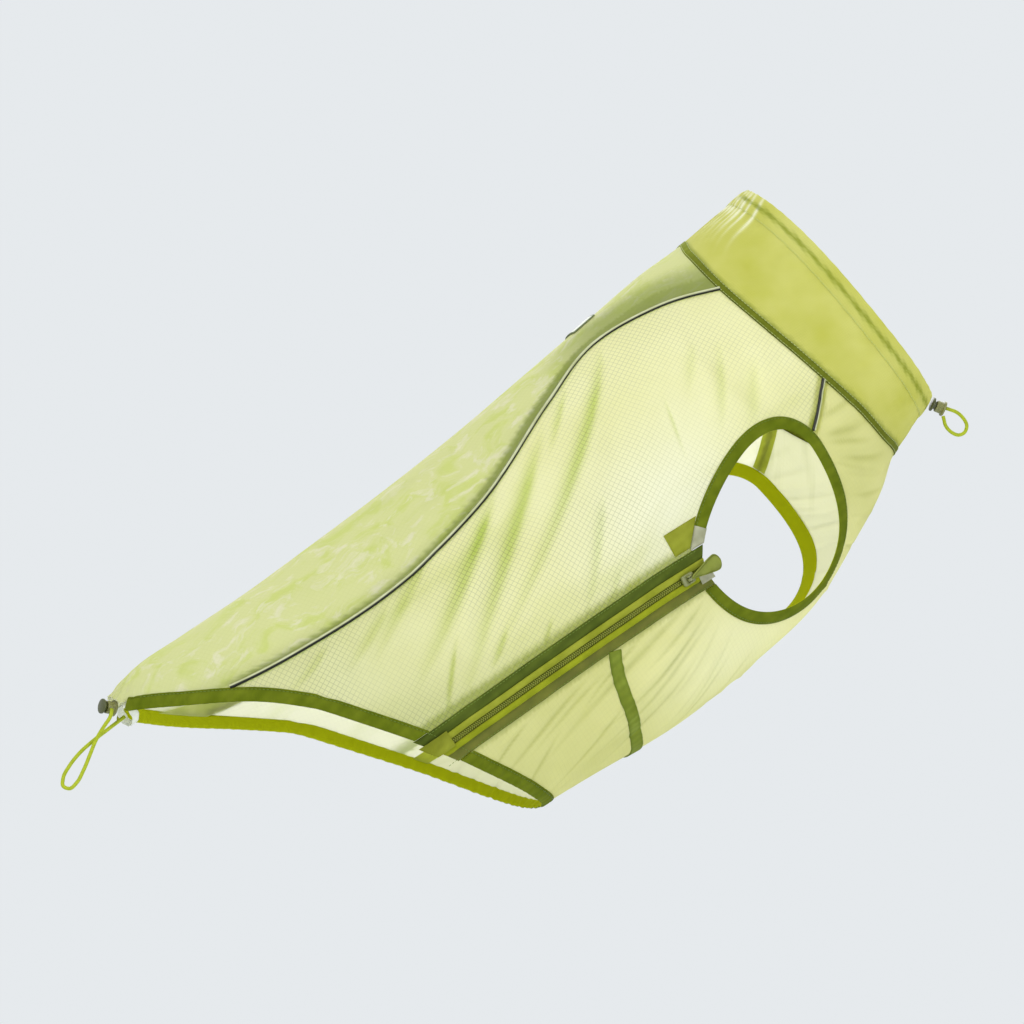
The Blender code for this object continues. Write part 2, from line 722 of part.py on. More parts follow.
def rod(radius, length, height=0.0):
    """A rod across the slider, its middle at this height."""
    shaped = bmesh.new()
    turn = Matrix.Translation((0, 0, height)) @ Matrix.Rotation(math.pi / 2, 4, "X")
    bmesh.ops.create_cone(
        shaped, cap_ends=True, segments=20, radius1=radius, radius2=radius, depth=length, matrix=turn
    )
    return shaped


def plate(outline, low, high):
    """An outline of (forward, aside) points given a thickness between two heights."""
    shaped = bmesh.new()
    face = shaped.faces.new([shaped.verts.new((x, y, low)) for x, y in outline])
    grown = bmesh.ops.extrude_face_region(shaped, geom=[face])["geom"]
    bmesh.ops.translate(
        shaped, vec=(0, 0, high - low), verts=[part for part in grown if isinstance(part, bmesh.types.BMVert)]
    )
    return shaped


def joined(obj, tools, pieces, operation, matrix):
    for number, piece in enumerate(pieces):
        name = f"{obj.name}_{operation.lower()}_{number}"
        tool = bpy.data.objects.new(name, formed(piece, name, matrix))
        tool.hide_render = True
        tool.display_type = "WIRE"
        tools.objects.link(tool)
        boolean = obj.modifiers.new(name, "BOOLEAN")
        boolean.operation = operation
        boolean.solver = "EXACT"
        boolean.object = tool


def matrix_of(x, y, z, place):
    """A turn to three axes and a move to a place in metres."""
    matrix = np.eye(4)
    matrix[:3, 0], matrix[:3, 1], matrix[:3, 2], matrix[:3, 3] = x, y, z, place
    return Matrix(matrix.tolist())


def unit(vector):
    return np.asarray(vector, float) / np.linalg.norm(vector)


# ---- the zip's slider and its pull ----

SLIDER = {"station": -177.0, "base": 2.2, "length": 9.5, "width": 7.4, "height": 2.4, "bevel": 0.7}
LUG = {"from": 1.7, "to": 2.7, "half_length": 1.7, "foot": 1.6, "top": 5.6}
PIN = {"radius": 0.6, "height": 4.3, "length": 5.0}
PULL = {"eye": 1.7, "hole": 0.95, "half_eye": 0.95, "neck": 2.6, "start": 4.0, "length": 26.0, "tip": 4.5}
PULL_HALF_WIDTHS = table("along half_width", [(4, 1.6), (8, 2.6), (14, 4.2), (20, 5.6), (24, 6.0)])
PULL_HALF_THICK = 0.9
PULL_YAW = math.radians(2.0)  # it hangs turned a little towards the back in its loose eye


def slider_matrix():
    chart = ZIP.at(SLIDER["station"])
    forward = unit(skin(ZIP.at(SLIDER["station"] + 4)) - skin(ZIP.at(SLIDER["station"] - 4)))
    out = unit(outward(chart) - (outward(chart) @ forward) * forward)
    place = placed(skin(chart, SLIDER["base"]))
    return matrix_of(TURN @ forward, TURN @ np.cross(out, forward), TURN @ out, place)


def slider_and_pull(collection, tools):
    matrix = slider_matrix()
    half_length, half_width = SLIDER["length"] / 2, SLIDER["width"] / 2
    body = block((-half_length, -half_width, 0), (half_length, half_width, SLIDER["height"]), SLIDER["bevel"])
    slider = keep(collection, "zip_slider", formed(body, "zip_slider", matrix), LOOKS["hard"])
    lugs = [
        block(
            (-LUG["half_length"], min(side * LUG["from"], side * LUG["to"]), LUG["foot"]),
            (LUG["half_length"], max(side * LUG["from"], side * LUG["to"]), LUG["top"]),
        )
        for side in (1, -1)
    ]
    joined(slider, tools, [*lugs, rod(PIN["radius"], PIN["length"], PIN["height"])], "UNION", matrix)

    steps = np.linspace(PULL["start"], PULL["length"] - PULL["tip"], 9)
    widths = smooth(steps, PULL_HALF_WIDTHS["along"], PULL_HALF_WIDTHS["half_width"])
    end, bow = np.radians(np.linspace(75, -75, 7)), widths[-1]
    side = np.stack([steps, widths], axis=1)
    tip = np.stack([steps[-1] + PULL["tip"] * np.cos(end), bow * np.sin(end)], axis=1)
    neck = np.array([(0.0, 1.0), (PULL["neck"], 1.0)]) * (1.0, PULL["half_eye"])
    outline = np.concatenate([neck, side, tip, side[::-1] * (1, -1), neck[::-1] * (1, -1)])
    hinge = matrix @ Matrix.Translation((0, 0, PIN["height"] * MM)) @ Matrix.Rotation(PULL_YAW, 4, "Z")
    tab = plate(outline, -PULL_HALF_THICK, PULL_HALF_THICK)
    pull = keep(collection, "zip_pull", formed(tab, "zip_pull", Matrix.Identity(4)), LOOKS["pull"])
    pull.matrix_world = hinge
    joined(pull, tools, [rod(PULL["eye"], 2 * PULL["half_eye"])], "UNION", hinge)
    joined(pull, tools, [rod(PULL["hole"], 3 * PULL["eye"])], "DIFFERENCE", hinge)


# ---- the cord locks, their cords and the tail's ring ----

BARREL = [
    (0, 0), (5.0, 0), (5.4, 0.4), (5.4, 1.3), (5.0, 1.6), (4.2, 1.9),
    (4.2, 6.2), (4.0, 6.4), (3.2, 6.4), (3.2, 2.0), (0, 2.0),
]  # fmt: skip
BUTTON = [
    (0, 3.9),
    (2.6, 3.9),
    (2.9, 4.2),
    (2.9, 8.3),
    (4.6, 8.3),
    (5.0, 8.7),
    (5.0, 9.4),
    (4.6, 9.8),
    (0, 9.8),
]
LOCK_LENGTH = 9.8
COLLAR_LOCK = {"centre": (73.4, 0.0, -194.2), "axis": (-0.50, 0.0, 0.866)}
TAIL_LOCK = {"centre": (-519.2, -3.4, -5.8), "axis": (-0.66, -0.35, 0.66)}
TAIL_RING = {
    "centre": (-510.7, 0.0, -17.3),
    "half_width": 18.8,
    "half_height": 7.5,
    "length": 5.5,
    "wall": 1.2,
}

# Each cord hangs in a drop-shaped loop: places in mm from its lock, in the vest's own axes.
COLLAR_CORD = table(
    "forward left up",
    [
        (4.3, 0.8, -4.6),
        (6.0, 0.9, -7.0),
        (8.4, 0.8, -10.8),
        (9.6, 0.6, -16.8),
        (8.0, 0.3, -23.0),
        (3.4, 0.0, -25.6),
        (-1.6, -0.4, -24.4),
        (-4.6, -0.7, -19.6),
        (-4.9, -0.9, -13.6),
        (-3.0, -1.0, -9.6),
        (-1.9, -0.9, -7.6),
    ],
)
TAIL_CORD = table(
    "forward left up",
    [
        (0.2, -5.2, -2.6),
        (-1.2, -5.2, -4.4),
        (-4.2, -4.8, -6.4),
        (-9.5, -3.4, -8.2),
        (-15.0, -1.0, -10.2),
        (-20.0, 1.2, -12.4),
        (-28.0, 2.2, -17.0),
        (-38.0, 2.8, -22.6),
        (-46.5, 3.2, -26.2),
        (-52.6, 3.4, -26.4),
        (-54.8, 3.6, -22.6),
        (-51.4, 4.0, -18.4),
        (-43.0, 4.4, -14.6),
        (-32.0, 4.8, -12.0),
        (-20.0, 4.9, -11.2),
        (-9.0, 4.8, -11.2),
        (0.0, 4.6, -11.3),
        (6.0, 4.5, -11.4),
    ],
)


def lock_matrix(lock):
    """The lock's own axes: its height runs from its closed end to its button, about its middle."""
    z = unit(lock["axis"])
    x = unit(np.cross((0, 1, 0), z))
    start = np.array(lock["centre"]) - z * LOCK_LENGTH / 2
    return matrix_of(TURN @ x, TURN @ np.cross(z, x), TURN @ z, placed(start))


def cord_points(rows, lock, spacing):
    """A smooth line through a cord's places, read at even steps."""
    places = np.stack([rows[name] for name in rows.dtype.names], axis=1) + lock["centre"]
    run = np.append(0, np.cumsum(np.linalg.norm(np.diff(places, axis=0), axis=1)))
    fine = np.linspace(0, run[-1], 600)
    points = np.stack([smooth(fine, run, places[:, axis]) for axis in range(3)], axis=1)
    length = np.append(0, np.cumsum(np.linalg.norm(np.diff(points, axis=0), axis=1)))
    steps = np.linspace(0, length[-1], round(length[-1] / spacing) + 1)
    return placed(np.stack([np.interp(steps, length, points[:, axis]) for axis in range(3)], axis=1))


def tail_ring(collection):
    angle = np.linspace(0, 2 * math.pi, 40, endpoint=False)[:, None]
    along = np.array([[-0.5, 0.5]]) * TAIL_RING["length"]
    grids = []
    for inset in (0.0, TAIL_RING["wall"]):
        half = TAIL_RING["half_width"] - inset, TAIL_RING["half_height"] - inset
        ring = [along + 0 * angle, half[0] * np.cos(angle) + 0 * along, half[1] * np.sin(angle) + 0 * along]
        grids.append(placed(np.stack(ring, axis=-1) + TAIL_RING["centre"]))
    shell(collection, "tail_ring", *grids, LOOKS["ring"], ring=True)


# ---- the vest ----

LOOKS = {  # colour and roughness
    "back": ("#D8DEA8", 0.75),
    "side": ("#E4EBA8", 0.75),
    "collar": ("#C9D268", 0.75),
    "tape": ("#8FA02C", 0.8),
    "binding": ("#6E8A1E", 0.8),
    "zip": ("#5F7A20", 0.8),
    "welt": ("#A9B32C", 0.7),
    "piping": ("#23260E", 0.45),
    "keeper": ("#B9B896", 0.7),
    "label": ("#E6E8D0", 0.7),
    "hard": ("#5B5F2E", 0.4),
    "pull": ("#8C9440", 0.5),
    "cord": ("#C8D22C", 0.7),
    "ring": ("#ECECEC", 0.6),
}
UNDER = -(CLOTH / 2 + 0.5 + TAPE / 2)  # middle of a tape on the inner face
OVER = -UNDER
UNDER_BACK_SEAM = UNDER - 0.8  # the cloth bends more there between two rows of points
UNDER_FRONT_SEAM = UNDER - 0.2
PIPING_LIFT = 0.4
COIL_LIFT = 0.3
WELT_LIFT = 0.8
TAB_LIFT = 2.9


def panels(collection):
    wall(collection, "back_panel", back_panel_chart(), LOOKS["back"])
    wall(collection, "side_panel_right", side_panel_chart(ZIP_EDGE), LOOKS["side"])
    wall(collection, "side_panel_left", mirrored(side_panel_chart(SIDE_SEAM_EDGE)), LOOKS["side"])
    wall(collection, "chest_panel", chest_panel_chart(), LOOKS["side"])


def collar(collection):
    body = ring_between(COLLAR_LINE, COLLAR_TAPE_EDGE, RIM_LINE, -CASING_WIDTH - SEAM_GAP, 5)
    casing = np.stack([RIM_LINE.at(RING_TURNS, aside) for aside in CASING_ASIDES], axis=1)
    seam = [COLLAR_LINE.at(RING_TURNS, side * COLLAR_TAPE_WIDTH) for side in (-0.5, 0.5)]
    wall(collection, "collar", body, LOOKS["collar"], ring=True)
    wall(collection, "collar_casing", casing, LOOKS["collar"], thick=CASING_WALLS, ring=True)
    wall(collection, "collar_seam_tape", np.stack(seam, axis=1), LOOKS["tape"], thick=COLLAR_TAPE, ring=True)


def bindings(collection):
    upper, lower = hem_binding_charts()
    wall(collection, "hem_binding_upper", upper, LOOKS["binding"], thick=BINDING)
    wall(collection, "hem_binding_lower", lower, LOOKS["binding"], thick=BINDING)
    wall(collection, "armhole_binding_right", open_armhole_chart(), LOOKS["binding"], thick=BINDING)
    left = closed_armhole_chart()
    wall(collection, "armhole_binding_left", left, LOOKS["binding"], thick=BINDING, ring=True)
    start, end = keeper_angles()
    asides = (0.0, -ARMHOLE_BINDING_WIDTH - KEEPER_OVERHANG)
    keeper = np.stack([ARM.at(np.linspace(start, end, 5), aside) for aside in asides], axis=1)
    wall(collection, "binding_keeper", keeper, LOOKS["keeper"], thick=KEEPER)


def seams(collection):
    """Piping along the back and front seams, with the bound allowance inside each."""
    back_rows = back_seam_rows(0.0)[0]
    hem_end = (HEM_LINE, HEM_EDGE + PIPING_SETBACK)
    back_start = (COLLAR_LINE, -COLLAR_TAPE_EDGE - PIPING_SETBACK)
    back_pipe = ribbon(BACK_LINE, back_start, hem_end, shares(back_rows), (0.0,))[:, 0]
    front_start = (COLLAR_LINE, -COLLAR_TAPE_EDGE - FRONT_PIPING_SETBACK)
    front_end = (ARM, SEAM_GAP + FRONT_PIPING_SETBACK)
    front_pipe = ribbon(FRONT, front_start, front_end, SHORT_TAPE, (0.0,))[:, 0]
    seam_start, arm_end = (COLLAR_LINE, -COLLAR_TAPE_EDGE), (ARM, SEAM_GAP)
    back_asides = np.array([-1.0, -0.5, 0.0]) * SEAM_TAPE_WIDTH - PIPING_EDGE
    back_tape = ribbon(BACK_LINE, seam_start, (HEM_LINE, HEM_EDGE), shares(back_rows), back_asides)
    tape_asides = np.array([-0.5, 0.0, 0.5]) * SEAM_TAPE_WIDTH
    front_tape = ribbon(FRONT, seam_start, arm_end, SHORT_TAPE, tape_asides)
    side_tape = ribbon(ZIP, arm_end, (HEM_LINE, HEM_EDGE), EVEN_TAPE, tape_asides)
    for side, facing in (("right", lambda chart: chart), ("left", mirrored)):
        pipes = ("back", back_pipe, PIPING_RADIUS), ("front", front_pipe, FRONT_PIPING_RADIUS)
        for name, chart, radius in pipes:
            points = placed(skin(facing(chart), PIPING_LIFT))
            tube(collection, f"{name}_piping_{side}", points, radius, LOOKS["piping"])
        wall(collection, f"back_seam_tape_{side}", facing(back_tape), LOOKS["tape"], UNDER_BACK_SEAM, TAPE)
        wall(collection, f"front_seam_tape_{side}", facing(front_tape), LOOKS["tape"], UNDER_FRONT_SEAM, TAPE)
    wall(collection, "side_seam_tape_left", mirrored(side_tape), LOOKS["tape"], UNDER, TAPE)


def zip_and_tabs(collection):
    for place, sign in (("upper", -1), ("lower", 1)):
        tape = zip_ribbon(sign * ZIP_TAPE_FROM, sign * (ZIP_TAPE_FROM + ZIP_TAPE_WIDTH))
        welt = zip_ribbon(sign * WELT_FROM, sign * (WELT_FROM + ZIP_WELT_WIDTH), ZIP_OVERHANG + 2)
        wall(collection, f"zip_tape_{place}", tape, LOOKS["zip"], 0.0, TAPE)
        wall(collection, f"zip_welt_{place}", welt, LOOKS["welt"], WELT_LIFT, ZIP_WELT)
    coil = zip_ribbon(-ZIP_COIL_WIDTH / 2, ZIP_COIL_WIDTH / 2)
    wall(collection, "zip_coil", coil, LOOKS["zip"], COIL_LIFT, COIL)

    rise = np.sin(math.pi * SHORT_TAPE)
    garage_asides = -ZIP_EDGE - np.linspace(GARAGE["near"], GARAGE["far"], 5)
    garage = ribbon(ZIP, (ARM, GARAGE["setback"]), GARAGE["rear"], SHORT_TAPE, garage_asides)
    garage_lift = OVER + GARAGE["lift"] + GARAGE["puff"] * rise[:, None] * rise[None]
    wall(collection, "zip_garage", garage, LOOKS["welt"], garage_lift, TAPE)
    end_asides = np.linspace(END_TAB["near"], END_TAB["far"], 4)
    end_tab = ribbon(ZIP, END_TAB["front"], (HEM_LINE, -TAB_OVERHANG), SHORT_TAPE, end_asides)
    wall(collection, "zip_end_tab", end_tab, LOOKS["zip"], TAB_LIFT, CLOTH)
    front_asides = np.linspace(FRONT_TAB["near"], FRONT_TAB["far"], 4)
    front_from = (ARM, -ARMHOLE_BINDING_WIDTH - FRONT_TAB["setback"])
    front_tab = ribbon(ZIP, front_from, FRONT_TAB["rear"], SHORT_TAPE, front_asides)
    wall(collection, "zip_front_tab", front_tab, LOOKS["keeper"], TAB_LIFT, CLOTH)


def laid_pieces(collection):
    """The belly band, laid on the chest panel's own facets, and the blank label on the back."""
    grid = chest_panel_chart()
    edges = [band_edge(grid, aside) for aside in np.array([-0.5, 0.5]) * BELLY_BAND_WIDTH]
    points, normals = (np.stack(parts, axis=1) for parts in zip(*edges))
    near, far = (placed(points + normals * (OVER + step * TAPE / 2)) for step in (-1, 1))
    shell(collection, "belly_band", far[1:-1], near[1:-1], LOOKS["binding"])
    stations = np.linspace(LABEL["front"], LABEL["rear"], 4)
    turns = np.linspace(-1, 1, 7) * LABEL["half_turn"]
    chart = np.stack(np.meshgrid(stations, turns, indexing="ij"), axis=-1)
    wall(collection, "back_label", chart, LOOKS["label"], OVER, TAPE)


def cords_and_locks(collection):
    for place, lock, rows in (("collar", COLLAR_LOCK, COLLAR_CORD), ("tail", TAIL_LOCK, TAIL_CORD)):
        matrix = lock_matrix(lock)
        turned_piece(collection, f"{place}_lock_barrel", BARREL, LOOKS["hard"], matrix)
        turned_piece(collection, f"{place}_lock_button", BUTTON, LOOKS["hard"], matrix)
        points = cord_points(rows, lock, 4 * CORD_RADIUS)
        tube(collection, f"{place}_cord_loop", points, CORD_RADIUS, LOOKS["cord"], detail=2)
    tail_ring(collection)


def main():
    for obj in list(bpy.data.objects):
        bpy.data.objects.remove(obj)
    vest = bpy.data.collections.new("dog_vest")
    tools = bpy.data.collections.new("tools")
    tools.hide_render = True
    for collection in (vest, tools):
        bpy.context.scene.collection.children.link(collection)
    panels(vest)
    collar(vest)
    bindings(vest)
    seams(vest)
    zip_and_tabs(vest)
    laid_pieces(vest)
    slider_and_pull(vest, tools)
    cords_and_locks(vest)


main()
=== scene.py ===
# Dog vest of thin ripstop cloth, filled out as worn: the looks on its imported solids.
# Each place on the cloth has a station, in mm forward along the back line from the collar seam,
# and a turn, in degrees round the tube from the back line, positive on the dog's right.
import math

import bpy
import numpy as np
from mathutils import Matrix


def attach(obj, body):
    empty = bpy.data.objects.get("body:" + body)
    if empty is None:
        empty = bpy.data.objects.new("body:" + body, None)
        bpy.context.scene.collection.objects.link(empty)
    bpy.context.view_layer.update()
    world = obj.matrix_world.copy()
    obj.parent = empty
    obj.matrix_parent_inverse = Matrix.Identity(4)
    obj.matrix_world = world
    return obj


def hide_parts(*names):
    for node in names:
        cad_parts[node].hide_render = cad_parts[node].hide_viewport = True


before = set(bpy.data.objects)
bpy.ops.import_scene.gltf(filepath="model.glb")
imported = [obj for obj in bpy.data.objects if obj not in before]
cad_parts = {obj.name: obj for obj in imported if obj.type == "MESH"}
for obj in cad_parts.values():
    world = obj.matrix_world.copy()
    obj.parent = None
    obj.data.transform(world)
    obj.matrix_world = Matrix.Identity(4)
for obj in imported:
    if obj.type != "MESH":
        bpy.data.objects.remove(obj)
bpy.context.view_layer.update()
mm = 0.001
print("frame loaded")


# The camera and the stage.

view = {"azimuth": -13.0, "elevation": -13.0, "distance": 3.0, "lens": 152.7, "aside": -0.1181, "up": -0.183}


def viewAxes(azimuth, elevation):
    # right, forward and up of a camera that looks along +Y at 0, 0
    a, e = math.radians(azimuth), math.radians(elevation)
    right = np.array([math.cos(a), math.sin(a), 0.0])
    ahead = np.array([-math.sin(a) * math.cos(e), math.cos(a) * math.cos(e), -math.sin(e)])
    return right, ahead, np.cross(right, ahead)


def table(names, rows):
    # rows of numbers with named columns
    return np.array(rows, dtype=[(name, float) for name in names.split()])


# The tube of cloth and its chart: the same cut as the solids'.

pitch = math.radians(40.0)
withersStation = -60.0
solidWall = 1.2

sections = table(
    "station top widest bottom halfWidth",
    [
        (-540, -5, -40, -80, 16),
        (-512, -0.5, -46, -112, 26),
        (-490, 3.5, -62, -150, 40),
        (-450, 1.5, -84, -196, 59),
        (-400, -2, -101, -222, 70),
        (-345, -3.5, -114, -232, 76),
        (-290, -4.5, -120, -240, 80),
        (-220, -4, -123, -250, 82),
        (-150, -1, -120, -250.5, 81),
        (-90, 2, -114, -246, 77),
        (-40, 4.5, -106, -230, 70),
        (0, 3.5, -98, -214, 62),
        (20, 4, -95, -202, 58),
        (40, 4.5, -92, -196, 54),
        (70, 5, -90, -187, 51),
        (92, 4.5, -89, -184, 50),
    ],
)
collarSeam = table(
    "turn station",
    [(0, 0), (26, -11), (54, -18), (80, -14), (104, -4), (124, 6), (145, 14), (163, 22), (180, 26)],
)
collarRim = table("turn station", [(0, 62), (26, 59), (60, 57.5), (104, 59), (145, 66), (180, 72)])
hem = table(
    "turn station",
    [
        (0, -514),
        (30, -513.5),
        (52, -512),
        (66, -489),
        (77, -454),
        (88, -430),
        (99, -410.5),
        (115, -384),
        (135, -360),
        (158, -340),
        (180, -331),
    ],
)
backSeam = table(
    "station turn",
    [
        (-490, 67),
        (-410, 64.5),
        (-330, 61.5),
        (-240, 52.5),
        (-165, 38.5),
        (-112, 30.5),
        (-60, 40),
        (-18, 54),
        (10, 63),
    ],
)
zipSeam = table(
    "station turn",
    [(-400, 119.5), (-345, 115.7), (-282, 113.7), (-235, 113.2), (-193, 114.3), (-168, 116.0), (-120, 120.0)],
)
frontSeam = table("station turn", [(-60, 117), (-34, 112.5), (0, 104), (16, 100)])
bellyBand = table("turn station", [(110, -238), (131, -253), (160, -257), (180, -257)])
armhole = {
    "station": -103.0,
    "turn": 117.5,
    "halfLength": 67.5,
    "turnOver": 22.0,
    "turnUnder": 48.0,
    "lean": 16.5,
    "squareness": 1.9,
}

# As it hangs filled out, its left side is drawn forward over the loin and back round the armhole,
# and the corner beside the tail sags.
leftHang = table(
    "station forward up",
    [
        (-515, 0, 0),
        (-498, 3, -4),
        (-480, 6, -6),
        (-460, 8, -4),
        (-435, 10, 0),
        (-300, 9, 0),
        (-200, 0, 2),
        (-150, -4, 2),
        (-105, -9, 3),
        (-72, -10, 6),
        (-42, 0, 3),
        (-12, 0, 0),
    ],
)

# The solids' large folds: straight from one place of the chart to another.
largeFolds = table(
    "fromStation fromTurn toStation toTurn reach height",
    [
        (-95, 44, -235, 102, 11, -2.6),
        (-70, 52, -175, 86, 10, 2.0),
        (-150, 46, -285, 104, 12, 2.6),
        (-185, 50, -330, 106, 12, -2.4),
        (-240, 60, -375, 104, 12, 2.2),
        (-300, 66, -420, 92, 11, -2.0),
        (-62, 66, -120, 88, 9, -2.2),
        (-20, 74, -52, 98, 9, 1.8),
        (-180, 122, -360, 140, 13, -2.2),
        (-190, 138, -330, 158, 12, 2.2),
        (-175, 150, -320, 172, 12, -1.8),
        (-20, 128, -36, 160, 10, 1.8),
        (-470, 22, -516, 12, 7, 1.4),
        (-460, 38, -505, 28, 9, -1.0),
    ],
)


def sideTurn(turn):
    # degrees from the back line down either side
    return np.abs((turn + 180) % 360 - 180)


def smooth(x, xs, ys):
    # a smooth curve through the points (xs, ys), level beyond its ends
    slopes = np.gradient(ys, xs)
    i = np.clip(np.searchsorted(xs, x) - 1, 0, len(xs) - 2)
    step = xs[i + 1] - xs[i]
    t = np.clip((x - xs[i]) / step, 0, 1)
    start = (2 * t - 3) * t * t + 1
    leave = ((t - 2) * t + 1) * t * step
    arrive = (t - 1) * t * t * step
    return start * ys[i] + leave * slopes[i] + (1 - start) * ys[i + 1] + arrive * slopes[i + 1]


def column(rows, key, name, x):
    return smooth(x, rows[key], rows[name])


def leftShare(turn):
    # share of the left side's hang: from 0 beside the back to 1, and back to 0 at the belly
    left = np.clip((-turn) % 360, 0, 180) * (np.sin(np.radians(turn)) < 0)
    over, under = (np.clip(x, 0, 1) for x in ((left - 60) / 35, (180 - left) / 60))
    return over * over * (3 - 2 * over) * under * under * (3 - 2 * under)


def evenPlace(chart):
    # an egg-shaped section at each station: half width x sine of the turn, and from the widest level
    # up to the top or down to the bottom x cosine of the turn
    station, turn = chart[..., 0], np.radians(chart[..., 1])
    top, widest, bottom, half = (
        column(sections, "station", name, station) for name in ("top", "widest", "bottom", "halfWidth")
    )
    rise = np.cos(turn)
    level = widest + rise * np.where(rise > 0, top - widest, widest - bottom)
    return np.stack([station, -half * np.sin(turn), level], axis=-1)


def tubePlace(chart):
    # the even tube, with the left side moved as it hangs
    share = leftShare(chart[..., 1])
    forward, up = (share * column(leftHang, "station", name, chart[..., 0]) for name in ("forward", "up"))
    return evenPlace(chart) + np.stack([forward, 0 * share, up], axis=-1)


def directions(vectors):
    # each one made one long
    return vectors / np.linalg.norm(vectors, axis=-1, keepdims=True)


def lengthAlong(points):
    # how far each point of a line is from its start
    return np.append(0, np.cumsum(np.linalg.norm(np.diff(points, axis=0), axis=1)))


def slopesOf(chart, place=tubePlace):
    along, roundIt = np.array([0.5, 0.0]), np.array([0.0, 0.5])
    return place(chart + along) - place(chart - along), place(chart + roundIt) - place(chart - roundIt)


def outward(chart, place=tubePlace):
    along, roundIt = slopesOf(chart, place)
    return directions(np.cross(roundIt, along))


def unrolled(station, turn):
    half = column(sections, "station", "halfWidth", station)
    return np.stack([station + 0 * turn, np.radians(np.abs(turn)) * 1.3 * half], axis=-1)


def largeFoldHeight(chart):
    # each fold is a bell across its line, times the squared sine of the way along it
    place = unrolled(chart[..., 0], chart[..., 1])
    total = np.zeros(chart.shape[:-1])
    for fold in largeFolds:
        start, end = (unrolled(fold[f"{at}Station"], fold[f"{at}Turn"]) for at in ("from", "to"))
        run = end - start
        along = np.clip((place - start) @ run / (run @ run), 0, 1)
        across = (place - start) @ np.array([-run[1], run[0]]) / np.linalg.norm(run)
        total += fold["height"] * np.exp(-((across / fold["reach"]) ** 2)) * np.sin(math.pi * along) ** 2
    return total


# Creases: what the scene adds to the large folds.

# Soft troughs and ridges along a bend through three places of the chart. Each has its own reach and
# height in mm, and a share of deeper colour, painted in for the shade in the crease and the light through the
# see-through cloth doubled there.
sideCreases = table(
    "s0 t0 s1 t1 s2 t2 reach height tint",
    [
        (-108, 33, -180, 64, -318, 102, 6.0, -2.4, 0.95),
        (-148, 38, -172, 48, -196, 57, 3.6, -1.2, 0.6),
        (-178, 44, -252, 71, -352, 109, 6.4, -2.6, 0.95),
        (-228, 49, -292, 72, -372, 98, 6.6, -2.2, 0.85),
        (-296, 57, -334, 67, -378, 82, 5.5, -1.6, 0.6),
        (-186, 79, -208, 89, -250, 106, 4.2, -1.8, 0.75),
        (-324, 87, -346, 99, -364, 110, 2.0, -1.0, 0.8),
        (-292, 93, -308, 99, -322, 103, 2.6, -1.0, 0.6),
        (-48, 68, -72, 81, -96, 92, 4.0, -1.3, 0.45),
        (-62, 61, -78, 68, -94, 74, 4.5, -1.0, 0.3),
        (-108, 68, -118, 80, -126, 89, 1.6, -0.8, 0.7),
        (-34, 80, -60, 92, -78, 98, 5.0, -1.2, 0.35),
        (-250, 58, -268, 64, -288, 70, 3.0, -0.9, 0.4),
        (-340, 63, -366, 72, -398, 82, 4.4, -1.2, 0.45),
        (-390, 66, -412, 74, -436, 80, 3.4, -0.9, 0.35),
        (-266, 99, -276, 103, -286, 107, 1.8, -0.7, 0.5),
        (-206, 99, -222, 104, -232, 107, 2.4, -0.8, 0.4),
        (-126, 44, -150, 56, -176, 70, 5.0, 1.4, 0.0),
        (-205, 60, -250, 80, -300, 98, 5.0, 1.3, 0.0),
        (-262, 64, -310, 84, -350, 100, 5.0, 1.2, 0.0),
    ],
)
